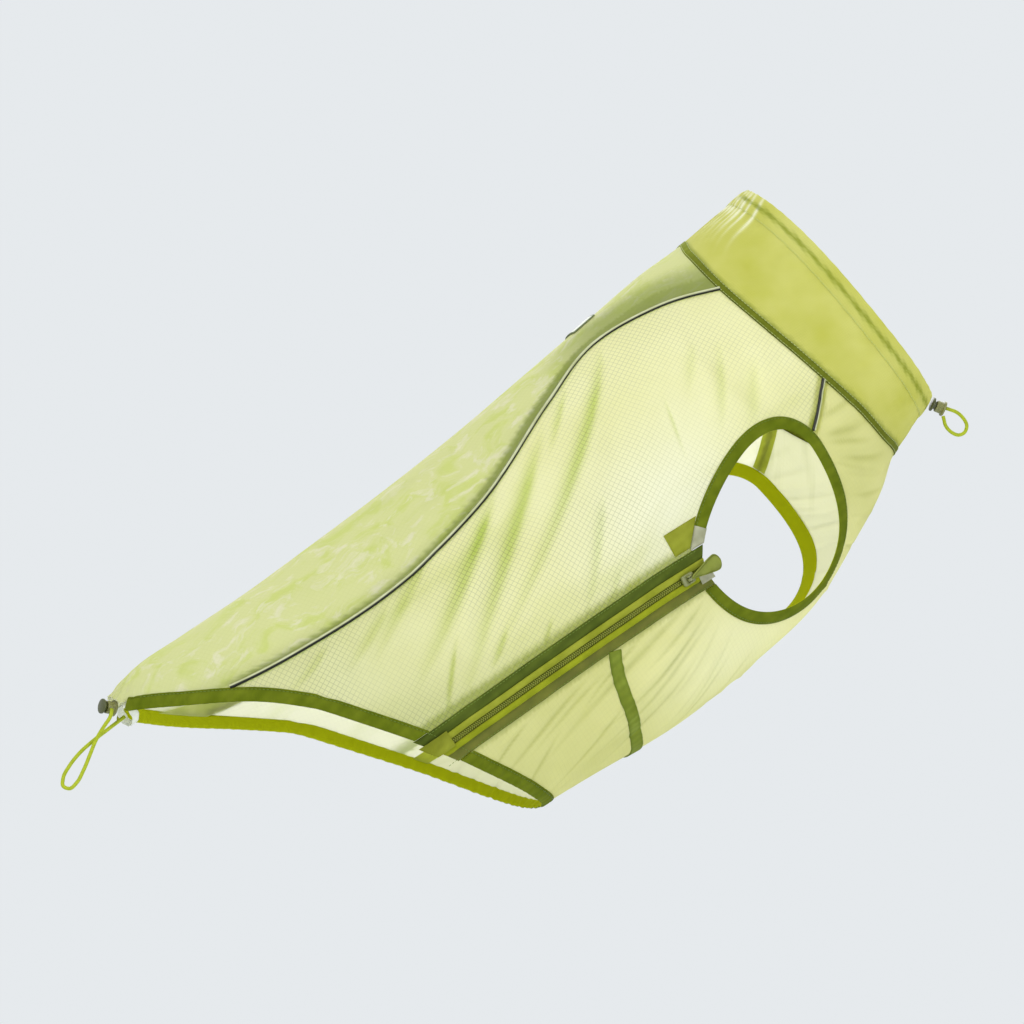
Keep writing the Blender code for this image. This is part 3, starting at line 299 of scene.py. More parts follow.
chestCreases = table(
    "s0 t0 s1 t1 s2 t2 reach height tint",
    [
        (-160, 121, -240, 128, -330, 146, 2.6, -1.1, 0.5),
        (-176, 126, -250, 139, -322, 152, 2.2, 0.9, 0.0),
        (-168, 131, -226, 142, -300, 160, 2.2, -1.0, 0.5),
        (-190, 139, -236, 152, -298, 172, 2.0, -0.9, 0.4),
        (-170, 142, -216, 158, -262, 178, 2.6, 0.9, 0.0),
        (-166, 148, -204, 164, -240, 182, 1.8, -0.8, 0.45),
        (-262, 122, -312, 131, -368, 144, 1.8, -0.9, 0.5),
        (-290, 119, -336, 127, -376, 135, 1.6, 0.8, 0.0),
        (-300, 134, -330, 146, -350, 158, 1.7, -0.8, 0.4),
        (-240, 134, -290, 150, -334, 168, 1.6, -0.7, 0.4),
        (-146, 156, -180, 172, -206, 190, 2.4, -0.9, 0.35),
        (-130, 160, -158, 176, -186, 196, 2.2, 0.8, 0.0),
        (-214, 120, -252, 126, -288, 134, 1.3, -0.7, 0.5),
        (-230, 124, -272, 133, -318, 146, 1.2, 0.6, 0.0),
        (-316, 124, -344, 131, -366, 139, 1.2, -0.6, 0.5),
        (-34, 116, -12, 124, 8, 131, 2.6, -1.1, 0.35),
        (-32, 121, -10, 131, 8, 141, 2.4, 1.1, 0.0),
        (-32, 126, -8, 140, 10, 152, 2.4, -1.1, 0.4),
        (-34, 133, -12, 148, 8, 163, 2.6, 1.0, 0.0),
        (-38, 141, -16, 156, 2, 172, 2.6, -1.1, 0.35),
        (-46, 149, -28, 162, -14, 178, 2.8, 0.9, 0.0),
        (-60, 155, -48, 168, -38, 184, 2.6, -0.8, 0.3),
        (-84, 159, -80, 172, -70, 188, 2.8, 0.8, 0.0),
        (-10, 106, -14, 110, -22, 114, 1.6, -0.8, 0.3),
        (-170, 124, -200, 129, -236, 133, 1.6, -0.6, 0.6),
        (-171, 128, -206, 135, -250, 143, 1.7, -0.6, 0.5),
        (-168, 134, -196, 143, -232, 154, 1.6, 0.5, 0.3),
        (-186, 131, -232, 139, -284, 146, 1.5, -0.5, 0.5),
        (-160, 140, -192, 154, -228, 172, 1.6, -0.5, 0.4),
        (-250, 124, -290, 130, -330, 138, 1.5, -0.5, 0.4),
        (-30, 112, -8, 116, 10, 120, 1.8, -0.6, 0.45),
        (-36, 118, -14, 128, 4, 138, 1.7, -0.6, 0.4),
        (-40, 124, -20, 138, -2, 152, 1.8, 0.5, 0.2),
    ],
)
# The hidden left side has like ones, moved and eased so that it isn't a copy.
hiddenSide = {"stationShift": 14.0, "turnShift": 2.5, "ease": 0.8, "creaseShadingEase": 0.5}


def bend(crease, steps=9):
    # a quadratic bend that passes through the middle place halfway
    t = np.linspace(0, 1, steps)[:, None]
    a, b, c = (unrolled(crease[f"s{i}"], crease[f"t{i}"]) for i in range(3))
    middle = 2 * b - (a + c) / 2
    return (1 - t) ** 2 * a + 2 * t * (1 - t) * middle + t * t * c


def creaseField(place, rows):
    # height in mm and share of deeper colour, painted crease shading. Across: a bell, steeper on its lower side.
    # Along: it rises over the first third and fades to the end
    height, tint = np.zeros(place.shape[:-1]), np.zeros(place.shape[:-1])
    for crease in rows:
        line = bend(crease)
        near = np.full(place.shape[:-1], 1e9)
        side, along = np.zeros_like(near), np.zeros_like(near)
        for i, (start, end) in enumerate(zip(line[:-1], line[1:])):
            run = end - start
            t = np.clip((place - start) @ run / (run @ run), 0, 1)
            off = place - start - t[..., None] * run
            distance = np.hypot(off[..., 0], off[..., 1])
            closer = distance < near
            near = np.where(closer, distance, near)
            side = np.where(closer, off @ np.array([-run[1], run[0]]), side)
            along = np.where(closer, (i + t) / (len(line) - 1), along)
        reach = crease["reach"] * (0.55 + 0.75 * np.sin(math.pi * np.clip(along, 0, 1)) ** 0.7)
        across = near / reach * np.where(side > 0, 1.0, 1.6)
        fade = np.clip(along / 0.3, 0, 1) ** 1.2 * np.clip((1 - along) / 0.45, 0, 1) ** 0.9
        bell = np.exp(-across * across) * fade
        height += crease["height"] * bell
        tint += crease["tint"] * np.exp(-1.6 * across * across) * fade
    return height, tint


# Small gathers that stand square to an edge: spacing, depth and reach in mm.
gathers = {
    "hem": {"spacing": 7.0, "depth": 0.5, "reach": 9.0},
    "collar": {"spacing": 5.5, "depth": 1.3, "reach": 30.0, "halfTurn": 20.0},
    "rim": {"spacing": 8.5, "depth": 0.28, "reach": 12.0},
    "tail": {"spacing": 5.0, "depth": 0.7, "reach": 10.0, "halfTurn": 52.0},
}


def edgeStation(rows, turn):
    # station of a ring line, the same on both sides
    turn = sideTurn(np.asarray(turn))
    turns = np.concatenate([-rows["turn"][1:3][::-1], rows["turn"], 360 - rows["turn"][-3:-1][::-1]])
    stations = np.concatenate([rows["station"][1:3][::-1], rows["station"], rows["station"][-3:-1][::-1]])
    return smooth(turn, turns, stations)


def ripple(run, spacing):
    # uneven waves: two sines whose spacings share no simple ratio
    k = 2 * math.pi / spacing
    return 0.62 * np.sin(k * run) + 0.38 * np.sin(k * 0.618 * run + 1.3)


def gatherHeight(chart, place):
    station, turn = chart[..., 0], sideTurn(chart[..., 1])
    run = place[..., 1]
    total = np.zeros(station.shape)
    inside = station - edgeStation(hem, turn) - 8.0
    g = gathers["hem"]
    fade = np.exp(-np.maximum(inside, 0) / g["reach"])
    total += g["depth"] * ripple(run + 0.5 * station, g["spacing"]) * fade
    g = gathers["tail"]
    fade = np.exp(-((turn / g["halfTurn"]) ** 4)) * np.exp(-np.maximum(inside, 0) / g["reach"])
    total += g["depth"] * ripple(run, g["spacing"]) * fade
    below = edgeStation(collarRim, turn) - station
    g = gathers["rim"]
    fade = np.exp(-((np.maximum(below - 17, 0) / g["reach"]) ** 2))
    total += g["depth"] * ripple(run, g["spacing"]) * fade * (station > edgeStation(collarSeam, turn) + 4)
    g = gathers["collar"]
    fade = np.exp(-((turn / g["halfTurn"]) ** 2)) * np.exp(-((below - 14) / g["reach"]) ** 2)
    onCollar = station > edgeStation(collarSeam, turn) + 3
    total += g["depth"] * ripple(run - 0.15 * station, g["spacing"]) * fade * onCollar
    return total


def creases(chart):
    # height in mm and share of deeper colour, painted crease shading, at each place of the chart
    turn = (chart[..., 1] + 180) % 360 - 180
    right = turn >= 0
    moved = [hiddenSide["stationShift"] * ~right, hiddenSide["turnShift"] * ~right]
    place = unrolled(chart[..., 0] + moved[0], np.abs(turn) + moved[1])
    ease = np.where(right, 1.0, hiddenSide["ease"])
    height, tint = creaseField(place, np.concatenate([sideCreases, chestCreases]))
    # creases that run past the belly line come from the other side's chart too
    over = np.abs(turn) > 150
    if over.any():
        other = unrolled(chart[over][..., 0], 360 - np.abs(turn[over]))
        more, deeper = creaseField(other, chestCreases)
        height[over] += more
        tint[over] += deeper
    creaseShadingEase = np.where(right, 1.0, hiddenSide["creaseShadingEase"])
    return ease * height + gatherHeight(chart, unrolled(chart[..., 0], turn)), creaseShadingEase * tint


def skin(chart, lift=0.0, fine=True):
    # the tube, moved out by the folds, the creases and a lift in mm
    lift = np.broadcast_to(lift, chart.shape[:-1])
    height = largeFoldHeight(chart) + lift
    if fine:
        height = height + creases(chart)[0]
    return tubePlace(chart) + outward(chart) * height[..., None]


turnMatrix = np.array(
    [[math.cos(pitch), 0, -math.sin(pitch)], [0, 1, 0], [math.sin(pitch), 0, math.cos(pitch)]]
)
withers = turnMatrix @ skin(np.array([[withersStation, 0.0]]), -solidWall / 2, fine=False)[0]


def placed(points):
    # metres in the part's frame, from mm in the vest's own axes
    return (points @ turnMatrix.T - withers) * mm


class Line:
    # a seam or an edge: a line of the chart, which can be read any distance to its side
    def __init__(self, chartOf, first, last):
        self.chartOf, self.first, self.last = chartOf, first, last

    def at(self, where, aside=0.0):
        # moved aside in mm: down if it runs to the tail, forward if it runs round
        where = np.asarray(where, float)
        step = (self.last - self.first) * 1e-4
        chart = self.chartOf(where)
        run = evenPlace(self.chartOf(where + step)) - evenPlace(self.chartOf(where - step))
        side = np.cross(outward(chart, evenPlace), run)
        side *= np.asarray(aside)[..., None] / np.linalg.norm(side, axis=-1, keepdims=True)
        along, roundIt = slopesOf(chart, evenPlace)
        aa, ar, rr = (along * along).sum(-1), (along * roundIt).sum(-1), (roundIt * roundIt).sum(-1)
        sa, sr = (side * along).sum(-1), (side * roundIt).sum(-1)
        area = aa * rr - ar * ar
        return chart + np.stack([(sa * rr - sr * ar) / area, (sr * aa - sa * ar) / area], axis=-1)

    def evenly(self, first, last, count, aside=0.0):
        # parameters that divide a stretch of the line into equal lengths
        where = np.linspace(first, last, 8 * count + 1)
        length = lengthAlong(evenPlace(self.at(where, aside)))
        return np.interp(np.linspace(0, length[-1], count + 1), length, where)


def around(rows):
    return Line(lambda turn: np.stack([edgeStation(rows, turn), turn], axis=-1), 0.0, 180.0)


def lengthways(rows):
    first, last = rows["station"].max() + 10, rows["station"].min() - 20
    return Line(lambda x: np.stack([x, column(rows, "station", "turn", x)], axis=-1), first, last)


def armholeChart(angle):
    # a full oval, deeper below its middle: 0 at its front, 90 at its belly side, 180 at its rear
    power = armhole["squareness"]
    c, s = np.cos(np.radians(angle)), np.sin(np.radians(angle))
    full = (np.abs(c) ** power + np.abs(s) ** power) ** (-1 / power)
    along, down = c * full, s * full
    reach = np.where(down > 0, armhole["turnUnder"], armhole["turnOver"])
    station = armhole["station"] + armhole["halfLength"] * along + armhole["lean"] * down * down
    return np.stack([station, armhole["turn"] + reach * down], axis=-1)


collarLine, rimLine, hemLine, bandLine = (around(rows) for rows in (collarSeam, collarRim, hem, bellyBand))
backLine, zipLine, frontLine = (lengthways(rows) for rows in (backSeam, zipSeam, frontSeam))
armLine = Line(armholeChart, -180.0, 180.0)


def crossing(one, oneAside, other, otherAside):
    # parameters of two lines, each moved aside, where they cross
    where = [np.linspace(line.first, line.last, 721) for line in (one, other)]
    a, b = one.at(where[0], oneAside), other.at(where[1], otherAside)
    da, db = np.diff(a, axis=0)[:, None], np.diff(b, axis=0)[None]
    gap = b[None, :-1] - a[:-1, None]
    area = da[..., 0] * db[..., 1] - da[..., 1] * db[..., 0]
    area = np.where(np.abs(area) < 1e-12, 1e-12, area)
    s = (gap[..., 0] * db[..., 1] - gap[..., 1] * db[..., 0]) / area
    t = (gap[..., 0] * da[..., 1] - gap[..., 1] * da[..., 0]) / area
    i, j = np.argwhere((s >= 0) & (s < 1) & (t >= 0) & (t < 1))[0]
    steps = [w[1] - w[0] for w in where]
    return where[0][i] + s[i, j] * steps[0], where[1][j] + t[i, j] * steps[1]


def panel(upper, lower, front, rear, share=None):
    # a Coons patch: the two ruled surfaces between opposite edges, less the one between the corners.
    # share: how far each column stands from the upper edge, where they aren't even
    t = np.linspace(0, 1, len(upper))[:, None, None]
    s = (np.linspace(0, 1, len(front)) if share is None else share)[None, :, None]
    ruled = (1 - s) * upper[:, None] + s * lower[:, None] + (1 - t) * front[None] + t * rear[None]
    fore = (1 - s) * front[0] + s * front[-1]
    aft = (1 - s) * rear[0] + s * rear[-1]
    return ruled - (1 - t) * fore - t * aft


def mirrored(chart):
    return chart * np.array([1.0, -1.0])


# The cut: widths in mm, as in the solids.

cut = {
    "collarTape": 6.0,
    "casing": 17.0,
    "armBinding": 9.0,
    "hemBinding": 9.5,
    "seamTape": 9.0,
    "band": 9.0,
    "coil": 3.4,
    "welt": 4.4,
    "zipTape": 7.1,
    "gap": 0.3,
}
weltFrom = cut["coil"] / 2 + cut["gap"]
tapeFrom = weltFrom + cut["welt"] + cut["gap"]
tapeTo = tapeFrom + cut["zipTape"]
zipReach = tapeTo + cut["gap"]  # where the pieces beside the zip start
hemStitch, armStitch = cut["hemBinding"] - 1.6, -1.5  # how far in the bindings are sewn
# Walls of what is sewn on, thickest along the middle.
walls = {
    "seamTape": 1.9, "binding": 2.2, "zipTape": 1.0, "welt": 2.2, "coilTape": 0.8, "elastic": 0.9, "label": 0.9,
}
# The cloth runs this far under the edge of what is sewn on it.
under = {"collar": 1.2, "hem": 1.6, "arm": 1.4, "zip": 0.8}
collarEdge = cut["collarTape"] / 2 - under["collar"]
hemEdge = cut["hemBinding"] - under["hem"]
zipEdge = tapeTo - under["zip"]
pipingEdge = 0.4
tailCorner = 55.0
tailTurns = (tailCorner - 6, tailCorner - 19)

# Rows and columns of each panel's grid, at 2 mm or less.
grid = {
    "front": 22, "arm": 130, "side": 120, "sideColumns": 96, "chestColumns": 72, "back": 60, "corner": (14, 10),
}
chestRows = (22, 65, 65, 120)
backMarks = (-52.0, -168.0)
chestMarks = (-22.0, -82.0, -190.0)
armLowest = 90.0


def joinedRows(line, marks, rows, aside):
    runs = [line.evenly(*pair, count, aside) for pair, count in zip(zip(marks, marks[1:]), rows)]
    return np.concatenate([runs[0]] + [run[1:] for run in runs[1:]])


panelRows = (grid["front"], grid["arm"], grid["side"])


def backRows(aside):
    fore = crossing(backLine, aside, collarLine, -collarEdge)
    aft = crossing(backLine, aside, hemLine, hemEdge)
    return joinedRows(backLine, (fore[0], *backMarks, aft[0]), panelRows, aside), fore[1], aft[1]


def backPanelChart():
    rows, fore, aft = backRows(-pipingEdge)
    right = backLine.at(rows, -pipingEdge)
    half = joinedRows(hemLine, (aft, *tailTurns, 0.0), (*grid["corner"], grid["back"]), 0.0)
    # behind the bindings' ends the cloth's edge slants out to the hem line
    bound, corner = grid["corner"]
    beside = hemLine.at(half[: bound + 1], hemEdge)
    bare = hemLine.at(half[bound + corner :], 0.0)
    slant = beside[-1] + (bare[0] - beside[-1]) * np.linspace(0, 1, corner + 1)[1:-1, None]
    rear = np.concatenate([beside, slant, bare])
    rear = np.concatenate([rear, mirrored(rear)[-2::-1]])
    share = 0.5 - 0.5 * rear[:, 1] / rear[0, 1]
    return panel(
        right,
        mirrored(right),
        collarLine.at(fore * (1 - 2 * share), -collarEdge),
        rear,
        share,
    )


def lowerEnds(sign, seamEdge):
    # where a panel's edge turns: beside the front seam, the armhole, the zip or side seam and the hem
    frontFrom, fore = crossing(frontLine, sign * pipingEdge, collarLine, -collarEdge)
    frontTo, armFrom = crossing(frontLine, sign * pipingEdge, armLine, -under["arm"])
    seamFrom, armTo = crossing(zipLine, sign * seamEdge, armLine, -under["arm"])
    seamTo, aft = crossing(zipLine, sign * seamEdge, hemLine, hemEdge)
    return (frontFrom, frontTo), (armFrom, armTo), (seamFrom, seamTo), (fore, aft)


def besideOpenings(ends, rows, sign, seamEdge):
    armRuns = len(rows) - 2
    lines = (frontLine, *[armLine] * armRuns, zipLine)
    asides = (sign * pipingEdge, *[-under["arm"]] * armRuns, sign * seamEdge)
    runs = zip(lines, ends, rows, asides)
    edges = [line.at(line.evenly(*pair, count, aside), aside) for line, pair, count, aside in runs]
    return np.concatenate([edges[0]] + [edge[1:] for edge in edges[1:]])


def sidePanelChart(seamEdge):
    rows, foreUpper, aftUpper = backRows(pipingEdge)
    *ends, (foreLower, aftLower) = lowerEnds(-1, seamEdge)
    columns = grid["sideColumns"]
    return panel(
        backLine.at(rows, pipingEdge),
        besideOpenings(ends, panelRows, -1, seamEdge),
        collarLine.at(collarLine.evenly(foreUpper, foreLower, columns, -collarEdge), -collarEdge),
        hemLine.at(hemLine.evenly(aftUpper, aftLower, columns, hemEdge), hemEdge),
    )


def chestPanelChart():
    middle = Line(lambda x: np.stack([x, np.full(np.shape(x), 180.0)], axis=-1), 80.0, -400.0)
    foreMiddle = collarLine.at(180.0, -collarEdge)[0]
    aftMiddle = hemLine.at(180.0, hemEdge)[0]
    belly = middle.at(joinedRows(middle, (foreMiddle, *chestMarks, aftMiddle), chestRows, 0.0))
    halves = []
    for seamEdge in (zipEdge, 0.0):
        front, (armFrom, armTo), seam, turns = lowerEnds(1, seamEdge)
        ends = front, (armFrom, armLowest), (armLowest, armTo % 360), seam
        foreTurns, aftTurns = (np.linspace(turn, 180.0, grid["chestColumns"] + 1) for turn in turns)
        halves.append(
            panel(
                besideOpenings(ends, chestRows, 1, seamEdge),
                belly,
                collarLine.at(foreTurns, -collarEdge),
                hemLine.at(aftTurns, hemEdge),
            )
        )
    left = np.array([0.0, 360.0]) + mirrored(halves[1])[:, -2::-1]
    return np.concatenate([halves[0], left], axis=1)


# Meshes.

girthStations = np.linspace(-545.0, 95.0, 129)
girthTurns = np.linspace(0.0, 360.0, 181)
girthGrid = evenPlace(np.stack(np.meshgrid(girthStations, girthTurns, indexing="ij"), axis=-1))
girthLengths = np.cumsum(np.linalg.norm(np.diff(girthGrid, axis=1, prepend=girthGrid[:, :1]), axis=-1), axis=1)


def flatPlace(chart):
    # the cloth laid flat, in metres: station, and true girth from the back line, read from a fine table
    x = np.interp(chart[..., 0], girthStations, np.arange(len(girthStations)))
    x = np.clip(x, 0, len(girthStations) - 1.001)
    turn = chart[..., 1]
    y = np.interp(np.abs(turn), girthTurns, np.arange(len(girthTurns)))
    y = np.clip(y, 0, len(girthTurns) - 1.001)
    i, j = x.astype(int), y.astype(int)
    fx, fy = x - i, y - j
    low = girthLengths[i, j] * (1 - fy) + girthLengths[i, j + 1] * fy
    high = girthLengths[i + 1, j] * (1 - fy) + girthLengths[i + 1, j + 1] * fy
    return np.stack([chart[..., 0], np.sign(turn) * (low * (1 - fx) + high * fx)], axis=-1) * mm


def makeMesh(name, points, faces, uv=None, attributes=None):
    # quads from arrays; uv holds a place for each face corner
    mesh = bpy.data.meshes.new(name)
    corner = points[faces[:, [0, 1, 2]]]
    if np.einsum("ij,ij->", corner[:, 0], np.cross(corner[:, 1], corner[:, 2])) < 0:
        faces = faces[:, ::-1]
        uv = None if uv is None else uv[:, ::-1]
    mesh.vertices.add(len(points))
    mesh.vertices.foreach_set("co", points.astype(np.float32).ravel())
    mesh.loops.add(faces.size)
    mesh.loops.foreach_set("vertex_index", faces.astype(np.int32).ravel())
    mesh.polygons.add(len(faces))
    mesh.polygons.foreach_set("loop_start", np.arange(0, faces.size, 4, dtype=np.int32))
    mesh.update(calc_edges=True)
    mesh.validate()
    if uv is not None:
        layer = mesh.uv_layers.new(name="flat")
        layer.data.foreach_set("uv", uv.astype(np.float32).ravel())
    for key, values in (attributes or {}).items():
        layer = mesh.attributes.new(key, "FLOAT", "POINT")
        layer.data.foreach_set("value", values.astype(np.float32).ravel())
    mesh.shade_smooth()
    mesh.set_sharp_from_angle(angle=math.radians(50))
    return mesh


def piece(name, mesh, material, node=None, body="vest"):
    # one finished piece, which may stand for a node of the solids
    obj = bpy.data.objects.new(name, mesh)
    bpy.context.scene.collection.objects.link(obj)
    mesh.materials.append(material)
    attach(obj, body)
    if node:
        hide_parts(node)
    return obj


def sweptFaces(rows, loop, ring):
    # a closed cross-section carried along rows of points, with its two ends shut unless it is a ring
    i, k = np.meshgrid(np.arange(rows if ring else rows - 1), np.arange(loop), indexing="ij")
    here, ahead = i * loop + k, (i + 1) * loop + k
    corners = np.stack([here, ahead, ahead + 1, here + 1], axis=-1)
    corners[..., 2] -= np.where(k + 1 == loop, loop, 0)
    corners[..., 3] -= np.where(k + 1 == loop, loop, 0)
    faces = corners.reshape(-1, 4)
    if not ring:
        j = np.arange(loop // 2 - 1)
        cap = np.stack([j, j + 1, loop - 2 - j, loop - 1 - j], axis=-1)
        faces = np.concatenate([faces, cap, (rows - 1) * loop + cap[:, ::-1]])
    return faces


def swept(name, points, ring=False, uv=None, attributes=None):
    # points: rows x loop x 3, in metres. A ring's uv has one more row than its points
    rows, loop = points.shape[:2]
    faces = sweptFaces(rows, loop, ring)
    corners = None if uv is None else uv.reshape(-1, 2)[faces]
    flat = {key: values.reshape(-1) for key, values in (attributes or {}).items()}
    return makeMesh(name, points.reshape(-1, 3), faces % (rows * loop), corners, flat)


def sheetMesh(name, chart, thick, lift=0.0, ring=False, paint=None, uvChart=None):
    # a thin closed shell on a patch of the chart: its outer face, then its inner one back again
    height, tint = creases(chart)
    lift = np.broadcast_to(lift, chart.shape[:-1])
    thick = np.broadcast_to(thick, chart.shape[:-1])
    base, out = tubePlace(chart), outward(chart)
    middle = largeFoldHeight(chart) + height + lift
    outer = base + out * (middle + thick / 2)[..., None]
    inner = base + out * (middle - thick / 2)[..., None]
    points = placed(np.concatenate([outer, inner[:, ::-1]], axis=1))
    flat = flatPlace(chart if uvChart is None else uvChart)
    if ring and uvChart is None:
        last = chart[:1] + np.array([0.0, 360.0])
        flat = np.concatenate([flat, flatPlace(last)])
    uv = np.concatenate([flat, flat[:, ::-1]], axis=1)
    # crease is the painted crease shading; shade and glow come from the paint, painted shade and light among them
    fields = {"crease": tint, "shade": 0 * tint, "glow": 0 * tint, **(paint(chart) if paint else {})}
    both = {key: np.concatenate([v, v[:, ::-1]], axis=1) for key, v in fields.items()}
    both["inner"] = np.concatenate([0 * tint, 0 * tint + 1], axis=1)
    return swept(name, points, ring, uv, both)


def clothPiece(name, node, chart, thick, material, **shape):
    return piece(name, sheetMesh(name, chart, thick, **shape), material, node)


cuts = {}


def cutSizes(chart, ring=False):
    # the longest row and the longest column of a patch laid flat, in metres, and its area
    closed = np.concatenate([chart, chart[:1] + np.array([0.0, 360.0])]) if ring else chart
    points = evenPlace(closed)
    down, across = np.diff(points, axis=0), np.diff(points, axis=1)
    lengths = [np.linalg.norm(step, axis=-1).sum(axis=axis) for axis, step in enumerate((down, across))]
    sizes = [length.max() * mm for length in lengths]
    area = np.linalg.norm(np.cross(down[:, :-1], across[:-1]), axis=-1).sum() * mm * mm
    return min(sizes), max(sizes), area


def declareSheet(obj, chart, ring=False):
    # the flat size of the cut
    width, length, area = cutSizes(chart, ring)
    cuts[obj.name] = (round(width, 4), round(length, 4), round(area, 5))


# Materials.


def colour(hexCode):
    # linear light of an sRGB colour written as six hex digits
    parts = [int(hexCode[i : i + 2], 16) / 255 for i in (1, 3, 5)]
    return (*[p / 12.92 if p <= 0.04045 else ((p + 0.055) / 1.055) ** 2.4 for p in parts], 1.0)


def addNode(tree, kind, inputs=(), output=0, **settings):
    # one node with its settings, and the output asked for; an input holds a value, or another
    # node's output, which is linked
    made = tree.nodes.new(f"ShaderNode{kind}")
    for key, value in settings.items():
        setattr(made, key, value)
    for key, value in dict(inputs).items():
        if isinstance(value, bpy.types.NodeSocket):
            tree.links.new(value, made.inputs[key])
        else:
            made.inputs[key].default_value = value
    return made.outputs[output] if made.outputs else None


def newMaterial(name):
    material = bpy.data.materials.new(name)
    material.use_nodes = True
    material.node_tree.nodes.clear()
    return material, material.node_tree


def finishMaterial(tree, base, look, height, strength, depth):
    # the face with its relief, then for what lets light through a translucent share, and for open
    # weaves a clear one. A scale is 1000 over a size in mm, because textures are laid out in metres
    normal = addNode(tree, "Bump", {"Height": height, "Strength": strength, "Distance": depth})
    shader = addNode(tree, "BsdfPrincipled", {
        "Base Color": base, "Normal": normal, "Roughness": look["roughness"], "IOR": 1.5,
        "Sheen Weight": look.get("sheen", 0.0), "Sheen Roughness": 0.4,
        "Specular IOR Level": look.get("specular", 0.4),
    })
    if look.get("through"):
        passed = base
        if look.get("backlitWhiteShare"):
            # painted light: a single layer against the light is nearly white, so the light passed through is
            # whitened by 1 less the painted crease shading and shade, times a share
            crease, shade = (
                addNode(tree, "Attribute", output="Fac", attribute_name=name) for name in ("crease", "shade")
            )
            paintedShadeSum = addNode(tree, "Math", {0: crease, 1: shade}, operation="ADD")
            unshadedShare = addNode(tree, "Math", {0: 1.0, 1: paintedShadeSum}, operation="SUBTRACT", use_clamp=True)
            share = addNode(tree, "Math", {0: unshadedShare, 1: look["backlitWhiteShare"]}, operation="MULTIPLY")
            passed = addNode(tree, "Mix", {0: share, 6: base, 7: colour(look["glow"])}, 2, data_type="RGBA")
        back = addNode(tree, "BsdfTranslucent", {"Color": passed, "Normal": normal})
        shader = addNode(tree, "MixShader", {0: look["through"], 1: shader, 2: back})
    if look.get("open"):
        shader = addNode(tree, "MixShader", {0: look["open"], 1: shader, 2: addNode(tree, "BsdfTransparent")})
    addNode(tree, "OutputMaterial", {"Surface": shader})


def ripstop(name, look):
    # Nylon ripstop, woven of fine thread with a thicker one every few mm, dyed and coated thin.
    # It gives a pale see-through skin with a fine square net, deeper in a crease, where shade and the light
    # through the doubled cloth are painted in
    material, tree = newMaterial(name)
    flat = addNode(tree, "UVMap", uv_map="flat")
    turned = addNode(tree, "Mapping", {"Vector": flat, "Rotation": (0, 0, math.radians(look["grain"]))})
    net = addNode(tree, "TexBrick", {
        "Vector": turned, "Scale": 1.0, "Brick Width": look["net"] * mm, "Row Height": look["net"] * mm,
        "Mortar Size": look["thread"] * mm, "Mortar Smooth": 1.0, "Bias": 0.0,
    }, "Fac", offset=0.0, squash=1.0)
    if "marble" in look:
        base = marbled(tree, flat, look)
    else:
        cloud = addNode(tree, "TexNoise", {"Vector": flat, "Scale": 1000 / look["cloud"], "Detail": 3.0}, "Fac")
        patch = addNode(tree, "MapRange", {0: cloud, 1: 0.38, 2: 0.64, 3: 0.0, 4: 1.0})
        base = addNode(tree, "Mix", {
            0: patch, 6: colour(look["pale"]), 7: colour(look["deep"]),
        }, 2, data_type="RGBA")
    # crease, glow and shade: painted crease shading, painted light and painted shade, with seam allowances
    # showing through in the shade
    crease, glowing, shaded, inner = (
        addNode(tree, "Attribute", output="Fac", attribute_name=name)
        for name in ("crease", "glow", "shade", "inner")
    )
    creased = addNode(tree, "Math", {0: crease, 1: look["creaseShare"]}, operation="MULTIPLY", use_clamp=True)
    fading = addNode(tree, "TexNoise", {"Vector": flat, "Scale": 1000 / look["netFade"], "Detail": 1.0}, "Fac")
    seen = addNode(tree, "MapRange", {0: fading, 1: 0.35, 2: 0.62, 3: 0.35, 4: 1.0})
    netSeen = addNode(tree, "Math", {0: net, 1: seen}, operation="MULTIPLY")
    netted = addNode(tree, "Math", {0: netSeen, 1: look["netShare"]}, operation="MULTIPLY")
    for share, over in ((creased, "crease"), (glowing, "glow"), (shaded, "shade"), (netted, "netColour")):
        base = addNode(tree, "Mix", {0: share, 6: base, 7: colour(look[over])}, 2, data_type="RGBA")
    # the coating inside is pale, with the light through the cloth painted in as near white, and the crease colour
    # shows through it in thin slanting streaks
    slant = addNode(tree, "Mapping", {"Vector": flat, "Rotation": (0, 0, 0.5), "Scale": (0.16, 1.0, 1.0)})
    streak = addNode(tree, "TexNoise", {"Vector": slant, "Scale": 1000 / look["streak"], "Detail": 3.0}, "Fac")
    dyed = addNode(tree, "MapRange", {0: streak, 1: 0.55, 2: 0.7, 3: 0.0, 4: 0.42})
    bare = addNode(tree, "Mix", {
        0: dyed, 6: colour(look["inner"]), 7: colour(look["crease"]),
    }, 2, data_type="RGBA")
    coated = addNode(tree, "Math", {0: inner, 1: 0.92}, operation="MULTIPLY")
    base = addNode(tree, "Mix", {0: coated, 6: base, 7: bare}, 2, data_type="RGBA")
    weave = addNode(tree, "TexNoise", {"Vector": flat, "Scale": 1000 / look["weave"], "Detail": 2.0}, "Fac")
    # height: 0.6 of the net and half of the weave
    netHeight = addNode(tree, "Math", {0: net, 1: 0.6}, operation="MULTIPLY")
    weaveHeight = addNode(tree, "Math", {0: weave, 1: 0.5}, operation="MULTIPLY")
    height = addNode(tree, "Math", {0: netHeight, 1: weaveHeight}, operation="ADD")
    finishMaterial(tree, base, look, height, look["bump"], 0.4 * mm)
    return material


